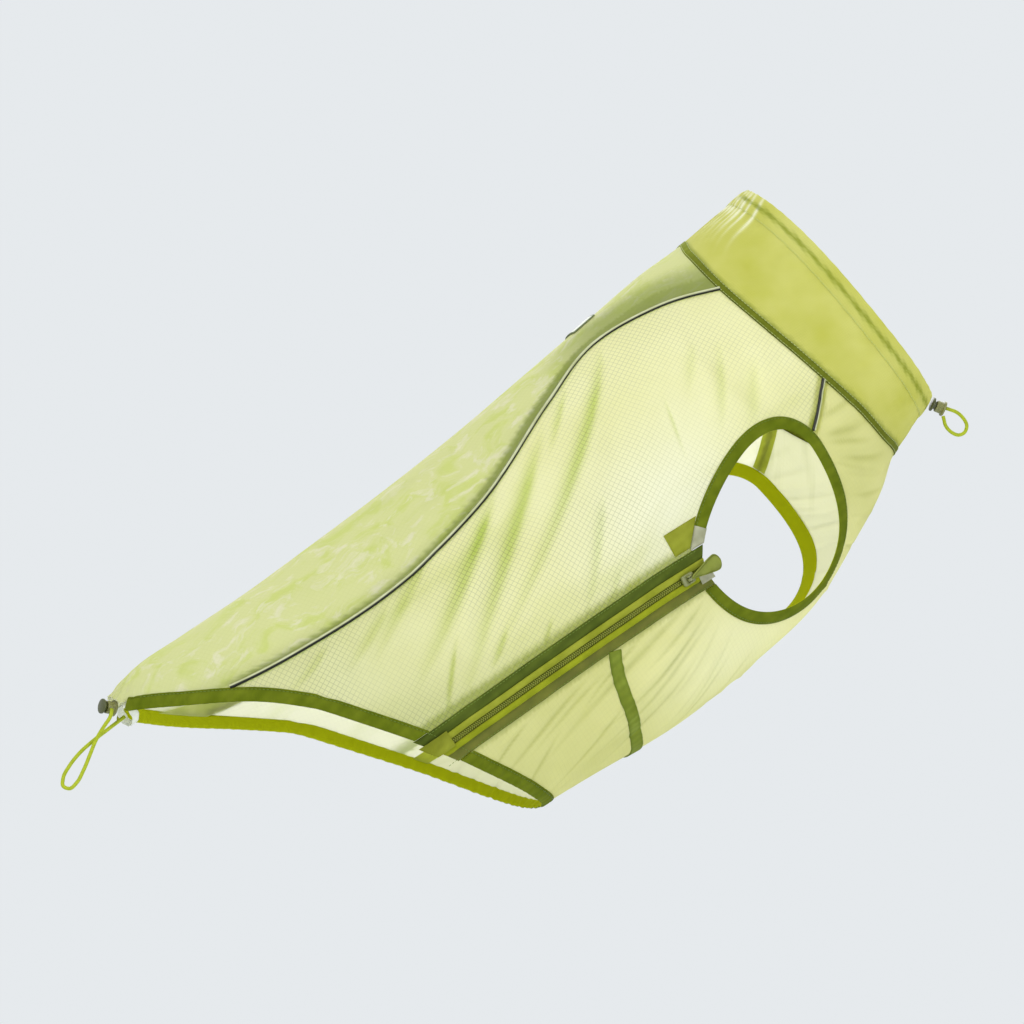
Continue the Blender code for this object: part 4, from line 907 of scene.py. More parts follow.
def marbled(tree, flat, look):
    # soft clouds drawn out into swirls, as dye floated on the cloth leaves them
    m = look["marble"]
    stretched = addNode(tree, "Mapping", {
        "Vector": flat, "Scale": (m["along"], 1.0, 1.0), "Rotation": (0, 0, 0.35),
    })
    swirl = addNode(tree, "TexNoise", {"Vector": flat, "Scale": 1000 / m["swirl"], "Detail": 2.0}, "Color")
    centred = addNode(tree, "VectorMath", {0: swirl, 1: (0.5, 0.5, 0.5)}, operation="SUBTRACT")
    pushed = addNode(tree, "VectorMath", {0: centred, "Scale": m["push"] * mm}, operation="SCALE")
    place = addNode(tree, "VectorMath", {0: stretched, 1: pushed}, operation="ADD")
    base = colour(look["deep"])
    # scale, detail and roughness of each cloud, where it starts and is full, and its share
    for over, scale, detail, rough, low, high, most in (
        ("lime", 1000, 4.0, 0.55, 0.46, 0.68, 0.8),
        ("white", 1700, 5.0, 0.6, 0.5, 0.7, 0.65),
    ):
        cloud = addNode(tree, "TexNoise", {
            "Vector": place, "Scale": scale / m["size"], "Detail": detail, "Roughness": rough,
        }, "Fac")
        ends = {0: cloud, 1: low, 2: high, 3: 0.0, 4: most}
        share = addNode(tree, "MapRange", ends, interpolation_type="SMOOTHSTEP")
        base = addNode(tree, "Mix", {0: share, 6: base, 7: colour(m[over])}, 2, data_type="RGBA")
    return base


def ribbonCloth(name, look):
    # Woven or knitted binding and tape: close ribs along its length, a matt face with soft light on it
    material, tree = newMaterial(name)
    flat = addNode(tree, "UVMap", uv_map="flat")
    ribs = addNode(tree, "TexWave", {
        "Vector": flat, "Scale": 1000 / look["rib"] / 20, "Distortion": 0.6, "Detail": 1.0, "Detail Scale": 3.0,
    }, "Fac", bands_direction="Y")
    cloud = addNode(tree, "TexNoise", {"Vector": flat, "Scale": 1000 / 14, "Detail": 3.0}, "Fac")
    patch = addNode(tree, "MapRange", {0: cloud, 1: 0.35, 2: 0.65, 3: 0.0, 4: 1.0})
    shaded, inner = (
        addNode(tree, "Attribute", output="Fac", attribute_name=name) for name in ("shade", "inner")
    )
    ribbed = addNode(tree, "Math", {0: ribs, 1: look["ribShare"]}, operation="MULTIPLY")
    base = colour(look["pale"])
    for share, over in ((patch, "deep"), (shaded, "shade"), (ribbed, "shade"), (inner, "inner")):
        if over in look:
            base = addNode(tree, "Mix", {0: share, 6: base, 7: colour(look[over])}, 2, data_type="RGBA")
    finishMaterial(tree, base, look, ribs, look["bump"], 0.3 * mm)
    return material


def moulded(name, look):
    # Moulded plastic: an even body colour with a faint satin grain from its mould
    material, tree = newMaterial(name)
    place = addNode(tree, "TexCoord", output="Object")
    grain = addNode(tree, "TexNoise", {"Vector": place, "Scale": 1000 / look["grainSize"], "Detail": 3.0}, "Fac")
    share = addNode(tree, "Math", {0: grain, 1: 0.35}, operation="MULTIPLY")
    base = addNode(tree, "Mix", {
        0: share, 6: colour(look["pale"]), 7: colour(look["deep"]),
    }, 2, data_type="RGBA")
    finishMaterial(tree, base, look, grain, 0.12, 0.2 * mm)
    return material


ripstopLook = {
    "pale": "#F1EEB4", "deep": "#E7E498", "crease": "#BDD046", "shade": "#9EA838", "netColour": "#5F6B30",
    "inner": "#FEFDF6", "glow": "#FEFDF0", "net": 3.0, "thread": 0.28, "cloud": 60.0, "netFade": 90.0,
    "netShare": 0.85, "creaseShare": 0.85, "weave": 1.2, "bump": 0.25, "grain": 22.0, "roughness": 0.62,
    "specular": 0.15, "through": 0.76, "open": 0.2, "backlitWhiteShare": 0.62, "streak": 22.0,
}
backLook = {
    **ripstopLook,
    "deep": "#D4D69C", "crease": "#C0CA6A", "shade": "#7C8A2E", "netShare": 0.06, "open": 0.03,
    "creaseShare": 0.5, "through": 0.4, "backlitWhiteShare": 0.0, "bump": 0.16,
    "marble": {"lime": "#CAD27C", "white": "#E3DECA", "size": 14.0, "swirl": 36.0, "push": 34.0, "along": 0.4},
}
chestLook = {
    **ripstopLook,
    "pale": "#D2D070", "deep": "#C2C24E", "crease": "#959E4A", "shade": "#8C963A", "netShare": 0.16,
    "creaseShare": 0.8, "grain": 4.0, "open": 0.14, "backlitWhiteShare": 0.5, "through": 0.72,
}
# on the collar the crease colour is pale, so its painted crease shading is a painted highlight
collarLook = {
    **ripstopLook,
    "pale": "#D2D17A", "deep": "#C6C65C", "crease": "#F2F2C4", "shade": "#848F18", "netColour": "#B4BA4E",
    "net": 1.7, "thread": 0.3, "netShare": 0.35, "cloud": 48.0, "through": 0.5, "open": 0.03, "backlitWhiteShare": 0.0,
    "grain": 0.0, "creaseShare": 0.7,
}
# inner: the binding's back, painted lime as it looks lit by the light through it; its face is moss green
bindingLook = {
    "pale": "#76821A", "deep": "#66740E", "shade": "#3F4A06", "inner": "#BCC20A", "rib": 1.1, "ribShare": 0.15,
    "bump": 0.25, "roughness": 0.7, "specular": 0.1, "through": 0.3,
}
tapeLook = {
    "pale": "#98A22C", "deep": "#868F20", "shade": "#4E560C", "rib": 0.9, "ribShare": 0.2, "bump": 0.25,
    "roughness": 0.7, "sheen": 0.0, "specular": 0.15, "through": 0.35,
}
innerTapeLook = {
    **tapeLook, "pale": "#ECEEC0", "deep": "#E2E6A8", "shade": "#C4CC74", "through": 0.75, "ribShare": 0.06,
}
limeTapeLook = {**innerTapeLook, "pale": "#DADF7C", "deep": "#D0D668", "shade": "#A4AC34", "through": 0.75}
zipTapeLook = {
    **tapeLook, "pale": "#56641A", "deep": "#485610", "shade": "#262E06", "through": 0.12,
}
weltLook = {
    **tapeLook, "pale": "#A3A836", "deep": "#8F9524", "shade": "#5C600E", "through": 0.2, "ribShare": 0.1,
}
# pale and deep: the piping's painted highlight; shade: its black
pipingLook = {
    **tapeLook, "pale": "#D5D8AC", "deep": "#BFC38C", "shade": "#0E1006", "through": 0.0, "rib": 1.3,
    "roughness": 0.4, "specular": 0.35,
}


# Panels.


def smoothStep(x, low, high):
    t = np.clip((x - low) / (high - low), 0, 1)
    return t * t * (3 - 2 * t)


def mmPerDegree(chart):
    return np.linalg.norm(slopesOf(chart)[1], axis=-1)


def belowLine(chart, rows):
    # mm round the tube from a lengthways line to each place, positive towards the belly
    return (sideTurn(chart[..., 1]) - column(rows, "station", "turn", chart[..., 0])) * mmPerDegree(chart)


def fray(chart):
    # a small uneven shift in mm, so that what shows through the cloth has no ruled edge
    run = chart[..., 0] * 0.9 + chart[..., 1] * 0.7
    return 0.55 * np.sin(run * 1.9) + 0.35 * np.sin(run * 0.83 + 2.0) + 0.25 * np.sin(run * 4.7)


def backPaint(chart):
    # the bound allowance of the back seam shows through as a soft dark band beside the piping, widened towards
    # the front with painted shade
    off = -belowLine(chart, backSeam) + 0.9 * fray(chart)
    wide = 2.2 + 3.6 * smoothStep(chart[..., 0], -330, -160) + 7 * smoothStep(chart[..., 0], -110, -50)
    band = smoothStep(off, 0.0, 1.5) * (1 - smoothStep(off, wide, wide + 4.5))
    fade = smoothStep(chart[..., 0], -478, -440)
    # painted shade over the front part of the panel, from the piping up
    fore = 0.6 * smoothStep(chart[..., 0], -170, -90) * (1 - smoothStep(off, 16, 36))
    return {"shade": np.maximum(0.75 * band * fade, fore)}


# Where a single layer is against the light, so that the dye looks almost white: mm and degrees.
sideGlow = {"station": -158.0, "turn": 96.0, "reach": 62.0, "spread": 22.0, "share": 1.0}
chestGlow = {"station": -170.0, "turn": 150.0, "reach": 70.0, "spread": 24.0, "share": 0.4}


def glow(chart, place):
    # a bell in both directions, on each side alike
    turn = sideTurn(chart[..., 1])
    along = (chart[..., 0] - place["station"]) / place["reach"]
    roundIt = (turn - place["turn"]) / place["spread"]
    return place["share"] * np.exp(-(along**2) - roundIt**2)


def besideCollar(chart):
    # share of the band in which the collar seam's allowance shows through
    return 1 - smoothStep(edgeStation(collarSeam, chart[..., 1]) - chart[..., 0] - collarEdge, 0.5, 4.0)


def sidePaint(chart):
    # a narrow darker band by the back seam, a band darker towards the zip tape and the collar seam's allowance
    # showing through; rear is painted shade, deeper towards the tail and the belly, and weak on the left side
    off = belowLine(chart, backSeam)
    seam = 1 - smoothStep(off + 0.3 * fray(chart), 0.8, 3.4)
    zipOff = -belowLine(chart, zipSeam) - tapeTo + 0.8 * fray(chart)
    zipBand = (1 - smoothStep(zipOff, 0.0, 10.0)) * (zipOff > -3)
    turn = sideTurn(chart[..., 1])
    rear = 0.34 * smoothStep(-chart[..., 0], 250, 410) + 0.25 * smoothStep(turn, 90, 108)
    rear = np.where(chart[..., 1] > 0, rear, 0.1 * rear)
    shade = np.clip(0.6 * seam + 0.95 * zipBand + 0.35 * besideCollar(chart) + rear, 0, 1)
    return {"shade": shade, "glow": glow(chart, sideGlow)}


def chestPaint(chart):
    zipOff = belowLine(chart, zipSeam) - tapeTo + 0.8 * fray(chart)
    right = (chart[..., 1] < 180) & (chart[..., 0] < -150)
    zipBand = (1 - smoothStep(zipOff, 0.3, 3.6)) * right
    return {"shade": np.clip(0.5 * zipBand + 0.3 * besideCollar(chart), 0, 1), "glow": glow(chart, chestGlow)}


clothWall = 0.5  # of a single layer, thicker than the real cloth so that it is one solid
sideCloth = ripstop("ripstop nylon, pale lime", ripstopLook)
chestCloth = ripstop("ripstop nylon, crushed", chestLook)
backCloth = ripstop("printed ripstop nylon", backLook)
collarCloth = ripstop("nylon plain weave, double", collarLook)

backGrid = backPanelChart()
back = clothPiece("back_cloth", "back_panel", backGrid, clothWall, backCloth, paint=backPaint)
rightGrid = sidePanelChart(zipEdge)
sideRight = clothPiece("side_cloth_right", "side_panel_right", rightGrid, clothWall, sideCloth, paint=sidePaint)
leftGrid = mirrored(sidePanelChart(0.0))
sideLeft = clothPiece("side_cloth_left", "side_panel_left", leftGrid, clothWall, sideCloth, paint=sidePaint)
chestGrid = chestPanelChart()
chest = clothPiece("chest_cloth", "chest_panel", chestGrid, clothWall, chestCloth, paint=chestPaint)
print("panels made")


# Collar.

collarSizes = {"wall": 0.8, "around": 440, "columns": 26, "casingColumns": 18, "casingWall": 3.2}


def ringTurns(count):
    return np.linspace(0, 360, count, endpoint=False)


def collarPaint(chart):
    # the turned-in hem of the casing shows as a dark line, and so does the allowance at the seam
    below = edgeStation(collarRim, chart[..., 1]) - chart[..., 0]
    wobble = 1.1 * fray(chart * np.array([1.0, 0.5]))
    turned = np.exp(-(((below - 8.6 + wobble) / 1.9) ** 2)) * smoothStep(np.abs(chart[..., 1] - 180), 178, 158)
    seamOff = chart[..., 0] - edgeStation(collarSeam, chart[..., 1]) - collarEdge
    seamBand = (1 - smoothStep(seamOff + wobble, 0.5, 5.0)) * smoothStep(np.abs(chart[..., 1] - 180), 176, 150)
    # by the back line the casing's cord draws the cloth into thin folds, painted with white highlights
    run = chart[..., 1] + 0.22 * chart[..., 0] + 1.6 * np.sin(0.11 * chart[..., 0])
    side = np.abs((run + 180) % 360 - 180)
    foldHighlight = sum(np.exp(-(((side - place) / width) ** 2)) for place, width in foldHighlightLines)
    fade = np.exp(-(((below - 16) / 20) ** 2))
    return {"shade": np.clip(0.85 * turned + 0.6 * seamBand, 0, 1), "glow": np.clip(0.9 * foldHighlight * fade, 0, 1)}


foldHighlightLines = [(14, 1.6), (19, 0.9), (23, 1.1), (27.5, 0.7), (31, 1.2), (36, 0.8), (43, 1.0)]
turns = ringTurns(collarSizes["around"])
near, far = collarLine.at(turns, collarEdge), rimLine.at(turns, -cut["casing"] + 0.5)
share = np.linspace(0, 1, collarSizes["columns"])[None, :, None]
collarGrid = (1 - share) * near[:, None] + share * far[:, None]
casingAsides = np.linspace(-cut["casing"], 0, collarSizes["casingColumns"])
casingGrid = np.stack([rimLine.at(turns, aside) for aside in casingAsides], axis=1)
across = np.linspace(0, 1, collarSizes["casingColumns"])
casingWall = collarSizes["casingWall"] * (0.25 + 0.75 * np.sin(math.pi * across**0.8) ** 0.5)
casingWall[-1] = 0.9
collarPiece = clothPiece(
    "collar_cloth", "collar", collarGrid, collarSizes["wall"], collarCloth, ring=True, paint=collarPaint
)
casingPiece = clothPiece(
    "collar_casing_cloth", "collar_casing", casingGrid, casingWall[None], collarCloth, ring=True,
    paint=collarPaint,
)


def seamTapePaint(chart):
    # painted light and shade: pale over the back line, where the light falls, and darker and double down the
    # sides
    turn = sideTurn(chart[..., 1])
    off = chart[..., 0] - edgeStation(collarSeam, chart[..., 1])
    edge = smoothStep(np.abs(off), 1.2, 2.9)
    return {"shade": np.clip(smoothStep(turn, 14, 44) * (0.45 + 0.5 * edge), 0, 1)}


tape = ribbonCloth("woven tape, olive", tapeLook)
asides = np.linspace(-0.5, 0.5, 9) * cut["collarTape"]
seamGrid = np.stack([collarLine.at(turns, aside) for aside in asides], axis=1)
roundEdge = np.sqrt(1 - np.linspace(-0.98, 0.98, 9) ** 4)
seamBinding = clothPiece(
    "collar_seam_binding", "collar_seam_tape", seamGrid, walls["seamTape"] * roundEdge[None], tape, ring=True,
    paint=seamTapePaint,
)
print("collar made")


# Bindings and tapes.


def ribbonChart(line, start, end, count, asides):
    # a tape along a line: it starts and ends at a parameter, or at (line, distance), that line moved aside
    edges = np.array([asides[0], asides[-1]])
    ends = []
    for aside in edges:
        ends.append([
            crossing(line, aside, *stop)[0] if isinstance(stop, tuple) else stop for stop in (start, end)
        ])
    ends = np.array(ends, float)
    even = line.evenly(*ends.mean(axis=0), count)
    fractions = (even - even[0]) / (even[-1] - even[0])
    columns = []
    for aside in asides:
        t = (aside - edges[0]) / (edges[1] - edges[0])
        first, last = (1 - t) * ends[0] + t * ends[1]
        columns.append(line.at(first + fractions * (last - first), aside))
    return np.stack(columns, axis=1)


def roundedAsides(first, last, count):
    # columns closer together at both edges, and the wall's share there: a folded tape's rounded section
    s = np.sin(np.linspace(-0.5, 0.5, count) * math.pi)
    return (first + last) / 2 + s * (last - first) / 2, np.maximum((1 - np.abs(s) ** 3.2) ** 0.5, 0.06)


def columnPaint(profile):
    # shade by column, as on a tape with darker edges or a stitched groove
    return lambda chart: {"shade": np.broadcast_to(profile, chart.shape[:-1])}


binding = ribbonCloth("stretch binding, moss green, its back painted lit lime", bindingLook)

asides, section = roundedAsides(0.0, cut["hemBinding"], 13)
groove = 0.75 * np.exp(-(((asides - hemStitch) / 0.5) ** 2))
bindingEnd = tailCorner - 7.5  # the turn at which both run in under the tail's ring
for name, place, zipAside, end, count in (
    ("hem_binding_right", "upper", -zipReach, bindingEnd, 150),
    ("hem_binding_left", "lower", zipReach, 360 - bindingEnd, 380),
):
    chart = ribbonChart(hemLine, (zipLine, zipAside), end, count, asides)
    clothPiece(
        name, f"hem_binding_{place}", chart, walls["binding"] * section[None], binding, paint=columnPaint(groove)
    )

asides, section = roundedAsides(0.0, -cut["armBinding"], 13)
groove = 0.6 * np.exp(-(((asides - armStitch) / 0.5) ** 2))


def armAngle(aside, zipAside):
    return crossing(armLine, aside, zipLine, zipAside)[0]


keeper = {"length": 11.0, "wall": 3.2, "overhang": 0.4, "lap": 1.0}
keeperStart = max(armAngle(aside, -zipReach) for aside in (0.0, -cut["armBinding"]))


def onward(line, where, distance):
    speed = np.linalg.norm(tubePlace(line.at(where + 0.01)) - tubePlace(line.at(where))) / 0.01
    return where + distance / speed


keeperEnd = onward(armLine, keeperStart, keeper["length"])
stops = [armAngle(aside, zipReach) % 360 for aside in (0.0, -cut["armBinding"])]
t = np.linspace(0, 1, 260)
bindingStart = keeperEnd - keeper["lap"]
columns = []
for aside in asides:
    stop = stops[0] + (stops[1] - stops[0]) * aside / -cut["armBinding"]
    columns.append(armLine.at(bindingStart + t * (stop - bindingStart), aside))
armNear = clothPiece("armhole_binding_near", "armhole_binding_right", np.stack(columns, axis=1),
                     walls["binding"] * section[None], binding, paint=columnPaint(groove))
ringAngles = np.linspace(0, 360, 300, endpoint=False)
farGrid = mirrored(np.stack([armLine.at(ringAngles, aside) for aside in asides], axis=1))
armFar = clothPiece(
    "armhole_binding_far", "armhole_binding_left", farGrid, walls["binding"] * section[None], binding,
    ring=True, paint=columnPaint(groove), uvChart=np.concatenate([farGrid, farGrid[:1]]),
)

innerTape = ribbonCloth("bias tape, pale lime", innerTapeLook)
limeTape = ribbonCloth("bias tape, lime", limeTapeLook)
inside = -(solidWall / 2 + 0.75)
innerWall = 0.5
seamAsides = np.linspace(-0.5, 0.5, 5) * cut["seamTape"]
for place, sign in (("right", 1), ("left", -1)):
    side = np.array([1.0, sign])
    seamEnd = (hemLine, hemEdge)
    seamStart = (collarLine, -collarEdge)
    grids = {
        "back_seam": ribbonChart(backLine, seamStart, seamEnd, 200, np.linspace(-9.8, 1.6, 7)),
        "front_seam": ribbonChart(frontLine, seamStart, (armLine, 0.3), 40, seamAsides),
    }
    for name, chart in grids.items():
        node = f"{name}_tape_{place}"
        cloth = innerTape if name == "back_seam" else limeTape
        clothPiece(f"{node}_cloth", node, chart * side, innerWall, cloth, lift=inside)
chart = ribbonChart(zipLine, (armLine, 0.3), (hemLine, hemEdge), 110, seamAsides)
sideSeamTape = clothPiece("side_seam_tape_cloth", "side_seam_tape_left", mirrored(chart), innerWall, limeTape,
                          lift=inside)


def bandPaint(chart):
    # a darker woven selvedge along each side
    off = chart[..., 0] - edgeStation(bellyBand, chart[..., 1])
    return {"shade": 0.5 * smoothStep(np.abs(off), 2.6, 4.4)}


where = bandLine.evenly(crossing(bandLine, 0.0, zipLine, zipReach)[0], 250.0, 190)
wave = 0.12 * np.sin(where * 0.9) + 0.08 * np.sin(where * 2.3 + 1)
bandAsides = np.linspace(-0.5, 0.5, 9) * cut["band"]
bandGrid = np.stack([bandLine.at(where, aside + wave * abs(aside) / 4.5) for aside in bandAsides], axis=1)
bandLook = {**tapeLook, "pale": "#93A23A", "deep": "#828F2A", "shade": "#5E7020"}
band = ribbonCloth("woven elastic, olive", bandLook)
bandLift = clothWall / 2 + 0.5
elastic = clothPiece("belly_elastic", "belly_band", bandGrid, walls["elastic"], band, lift=bandLift,
                     paint=bandPaint)
print("bindings made")


# Piping.


def tubeMesh(name, points, radius, sides=16, lit=None):
    # a circle of given radius carried along a line of points, kept from twisting by one steady side; with lit,
    # the side facing it keeps the pale colour as a painted highlight and the rest is shaded dark
    run = directions(np.gradient(points, axis=0))
    steadySide = np.array([0.31, 0.22, 0.93])
    side = directions(np.cross(run, steadySide))
    up = np.cross(side, run)
    angle = (np.arange(sides) + 0.5) * 2 * math.pi / sides
    radius = np.broadcast_to(radius, len(points))[:, None, None]
    ring = side[:, None] * np.cos(angle)[None, :, None] + up[:, None] * np.sin(angle)[None, :, None]
    length = lengthAlong(points)
    uv = np.stack(np.broadcast_arrays(length[:, None], angle[None] * radius[:, :, 0]), axis=-1)
    if lit is None:
        shade = np.zeros(ring.shape[:2])
    else:
        shade = 1 - smoothStep(ring @ lit, 0.62, 0.86)
    return swept(name, points[:, None] + radius * ring, uv=uv, attributes={"shade": shade})


# Its cord is wrapped in a black strip with a silver reflective face, which is turned to the back panel: a painted
# highlight on the side facing each seam's given direction.
piping = ribbonCloth("piping, black, its reflective face a painted highlight", pipingLook)
pipingHighlightSide = {"back": (-0.1, -0.72, 0.68), "front": (0.85, -0.5, 0.1)}
thinPair = [0.0, 0.01]  # a line is read as the first column of a very narrow tape
pipes = {
    "back": (backLine, -2.0, (hemLine, cut["hemBinding"] + cut["gap"]), 300, 1.45),
    "front": (frontLine, -2.6, (armLine, 0.6), 50, 1.4),
}
for kind, (line, aside, stop, count, radius) in pipes.items():
    chart = ribbonChart(line, (collarLine, aside), stop, count, thinPair)[:, 0]
    for place, sign in (("right", 1), ("left", -1)):
        path = placed(skin(chart * np.array([1.0, sign]), 0.4))
        node = f"{kind}_piping_{place}"
        mesh = tubeMesh(f"{node}_cord", path, radius * mm, lit=np.array(pipingHighlightSide[kind]) * (1, sign, 1))
        piece(f"{node}_cord", mesh, piping, node)
print("piping made")


# Zip.

zipTape = ribbonCloth("woven zip tape, forest green", zipTapeLook)
lowerTape = ribbonCloth("woven zip tape, olive brown", {**zipTapeLook, "pale": "#75762C", "deep": "#66682A",
                                                        "shade": "#4A6018"})
welt = ribbonCloth("folded welt, lime", weltLook)
lowerWelt = ribbonCloth("folded welt, yellow lime", {**weltLook, "pale": "#9DA51C", "deep": "#8A9212"})
coilBase = ribbonCloth("woven coil tape, dark olive", {**zipTapeLook, "pale": "#6E7420", "deep": "#5A6118"})
zipStart, zipStop = (armLine, -cut["armBinding"] + 0.5), (hemLine, -1.0)


def zipStrip(sign, first, last, columns=9):
    asides, section = roundedAsides(sign * first, sign * last, columns)
    return ribbonChart(zipLine, zipStart, zipStop, 130, asides), section


for place, sign, tapeCloth, weltCloth in (("upper", -1, zipTape, welt), ("lower", 1, lowerTape, lowerWelt)):
    chart, section = zipStrip(sign, tapeFrom - 0.6, tapeTo)
    profile = 0.9 * smoothStep(np.linspace(0, 1, 9), 0.86, 1.0)
    node, thick = f"zip_tape_{place}", walls["zipTape"] * section[None]
    paint = columnPaint(profile)
    clothPiece(f"{node}_cloth", node, chart, thick, tapeCloth, lift=0.1, paint=paint)
    chart, section = zipStrip(sign, weltFrom, weltFrom + cut["welt"], 11)
    # painted shade along the welt's edge by the coil
    profile = 0.5 * (1 - smoothStep(np.linspace(0, 1, 11), 0.0, 0.25))
    node, thick = f"zip_welt_{place}", walls["welt"] * section[None]
    paint = columnPaint(profile)
    clothPiece(f"{node}_cloth", node, chart, thick, weltCloth, lift=0.8, paint=paint)
chart, section = zipStrip(1, -cut["coil"] / 2 - 0.5, cut["coil"] / 2 + 0.5)
coilTape = clothPiece("zip_coil_tape", "zip_coil", chart, walls["coilTape"] * section[None], coilBase)


def beads(name, middles, along, outs, half, rows=6, sides=6):
    # small pods, one at each middle: half sizes along, across and out, on a grid of latitudes and longitudes
    across = np.cross(outs, along)
    a = np.linspace(-1, 1, rows)
    b = np.arange(sides) * 2 * math.pi / sides
    girth = np.sqrt(np.maximum(1 - a * a, 0.02))
    x = half[0] * a[:, None] + 0 * b[None]
    y = half[1] * girth[:, None] * np.cos(b)[None]
    z = half[2] * girth[:, None] * np.sin(b)[None]
    points = (
        middles[:, None, None]
        + x[None, ..., None] * along[:, None, None]
        + y[None, ..., None] * across[:, None, None]
        + z[None, ..., None] * outs[:, None, None]
    )
    one = sweptFaces(rows, sides, False)
    step = rows * sides
    faces = (one[None] + (np.arange(len(middles)) * step)[:, None, None]).reshape(-1, 4)
    return makeMesh(name, points.reshape(-1, 3), faces)


def lineFrame(chart, lift):
    # points in metres, direction along and direction out at each place of a line of the chart
    points = placed(skin(chart, lift))
    along = directions(np.gradient(points, axis=0))
    outs = outward(chart) @ turnMatrix.T
    outs -= (outs * along).sum(1, keepdims=True) * along
    return points, along, directions(outs)


teeth = {"spacing": 1.5, "aside": 0.75, "lean": 0.45, "lift": 0.75, "half": (0.95, 0.42, 0.42)}
coilPlastic = moulded("polyester coil, dark olive", {"pale": "#8A8F2E", "deep": "#4E5414", "grainSize": 2.0,
                                                     "roughness": 0.42})
stopStation = crossing(zipLine, 0.0, *zipStop)[0]
startStation = crossing(zipLine, 0.0, *zipStart)[0]
toothCount = round(abs(stopStation - startStation) / teeth["spacing"])
toothMiddles = zipLine.evenly(startStation, stopStation, toothCount)
tooth = []
for sign in (-1, 1):
    where = toothMiddles + sign * teeth["spacing"] / 4
    middles, along, outs = lineFrame(zipLine.at(where, sign * teeth["aside"]), teeth["lift"])
    acrossZip = np.cross(outs, along)
    lean = directions(sign * teeth["lean"] * along + acrossZip)
    tooth.append((middles, lean, outs))
middles, along, outs = (np.concatenate(parts) for parts in zip(*tooth))
toothMesh = beads("zip_teeth", middles, along, outs, np.array(teeth["half"]) * mm)
zipTeeth = piece("zip_teeth", toothMesh, coilPlastic)
print("zip made")


# Stitches.

thread = {"pale": "#C9D488", "deep": "#A8B65C", "roughness": 0.55, "sheen": 0.2, "grainSize": 0.8}
paleThread = moulded("polyester thread, pale lime", thread)
darkThread = moulded("polyester thread, moss green", {**thread, "pale": "#6C8424", "deep": "#4A5E16"})
stitch = {"spacing": 2.6, "half": (0.95, 0.2, 0.17)}


def stitches(name, chart, lift, material):
    # one thread pod every few mm along a line of the chart, half sunk in the cloth
    spacing = stitch["spacing"]
    points, along, outs = lineFrame(chart, lift)
    length = lengthAlong(points)
    at = np.arange(spacing * mm / 2, length[-1], spacing * mm)

    def pick(v):
        return np.stack([np.interp(at, length, v[:, k]) for k in range(3)], axis=1)

    half = np.array(stitch["half"]) * mm
    return piece(name, beads(name, pick(points), pick(along), pick(outs), half), material)


ringClosed = np.linspace(0, 360, 400)
top = clothWall / 2
stitched = {"casing": [], "collar": [], "back": [], "sideRight": [], "chest": []}
chart = rimLine.at(ringClosed, -cut["casing"] + 0.2)
stitched["casing"].append(stitches("casing_stitches", chart, 0.9, paleThread))
for number, aside in enumerate((-2.2, 2.2)):
    made = stitches(f"collar_seam_stitches_{number}", collarLine.at(ringClosed, aside), 0.95, paleThread)
    stitched["collar"].append(made)
for place, sign in (("right", 1), ("left", -1)):
    side = np.array([1.0, sign])
    stop = (hemLine, cut["hemBinding"])
    chart = ribbonChart(backLine, (collarLine, -2.6), stop, 240, [2.2, 2.21])[:, 0] * side
    made = stitches(f"back_seam_stitches_{place}", chart, top, paleThread)
    stitched["back"].append(made)
for name, (sewnOn, line, first, last, aside, lift, material) in {
    "hem_stitches_right": ("sideRight", hemLine, 118.0, 56.0, hemStitch, 1.0, darkThread),
    "hem_stitches_left": ("chest", hemLine, 122.0, 304.0, hemStitch, 1.0, darkThread),
    "armhole_stitches_near": ("chest", armLine, keeperEnd, min(stops), armStitch, 0.95, darkThread),
    "zip_stitches_upper": ("sideRight", zipLine, startStation, stopStation, -tapeTo + 1.2, 0.6, darkThread),
    "zip_stitches_lower": ("sideRight", zipLine, startStation, stopStation, tapeTo - 1.2, 0.6, darkThread),
}.items():
    chart = line.at(np.linspace(first, last, 300), aside)
    made = stitches(name, chart, lift, material)
    stitched[sewnOn].append(made)
made = stitches("armhole_stitches_far", mirrored(armLine.at(ringClosed, armStitch)), 0.95, darkThread)
stitched["chest"].append(made)
print("stitches made")


# Tabs, garage, keeper and label.

keeperCloth = ribbonCloth("folded tape, grey white", {**tapeLook, "pale": "#D6D5BC", "deep": "#B4B494",
                                                      "shade": "#7C7E52", "rib": 1.4})


def tabWall(chart, thick):
    # wall thinner at all four edges
    ends = [np.minimum(1, 0.25 + 3.5 * np.sin(math.pi * np.linspace(0, 1, n)) ** 0.8) for n in chart.shape[:2]]
    return thick * ends[0][:, None] * ends[1][None]


rise = np.sin(math.pi * np.linspace(0, 1, 25))
garageAsides = -zipReach - np.linspace(2.0, 17.5, 25)
garageChart = ribbonChart(zipLine, (armLine, 0.8), -177.0, 24, garageAsides)
endChart = ribbonChart(zipLine, -369.0, (hemLine, -4.0), 20, np.linspace(2.9, -8.5, 14))
frontStart = (armLine, -cut["armBinding"] - 2.0)
frontChart = ribbonChart(zipLine, frontStart, -169.0, 20, np.linspace(1.0, 8.5, 12))
# The garage is a raised pocket; the two folds lie flat over the zip's ends: lift and wall in mm, and a painted
# shade that grows from one edge of each piece to the other.
garageLift = 0.7 + 0.4 + 1.8 * rise[: len(garageChart), None] ** 0.7 * rise[None] ** 0.7
for name, node, chart, thick, lift, cloth, paintedShadeRange in (
    ("zip_garage_cloth", "zip_garage", garageChart, 1.0, garageLift, welt, (0.0, 0.3)),
    ("zip_end_fold", "zip_end_tab", endChart, 1.3, 2.7, welt, (0.1, 0.5)),
    ("zip_front_fold", "zip_front_tab", frontChart, 1.3, 2.7, keeperCloth, (0.0, 0.2)),
):
    shade = columnPaint(np.linspace(*paintedShadeRange, chart.shape[1]))
    clothPiece(name, node, chart, tabWall(chart, thick), cloth, lift=lift, paint=shade)

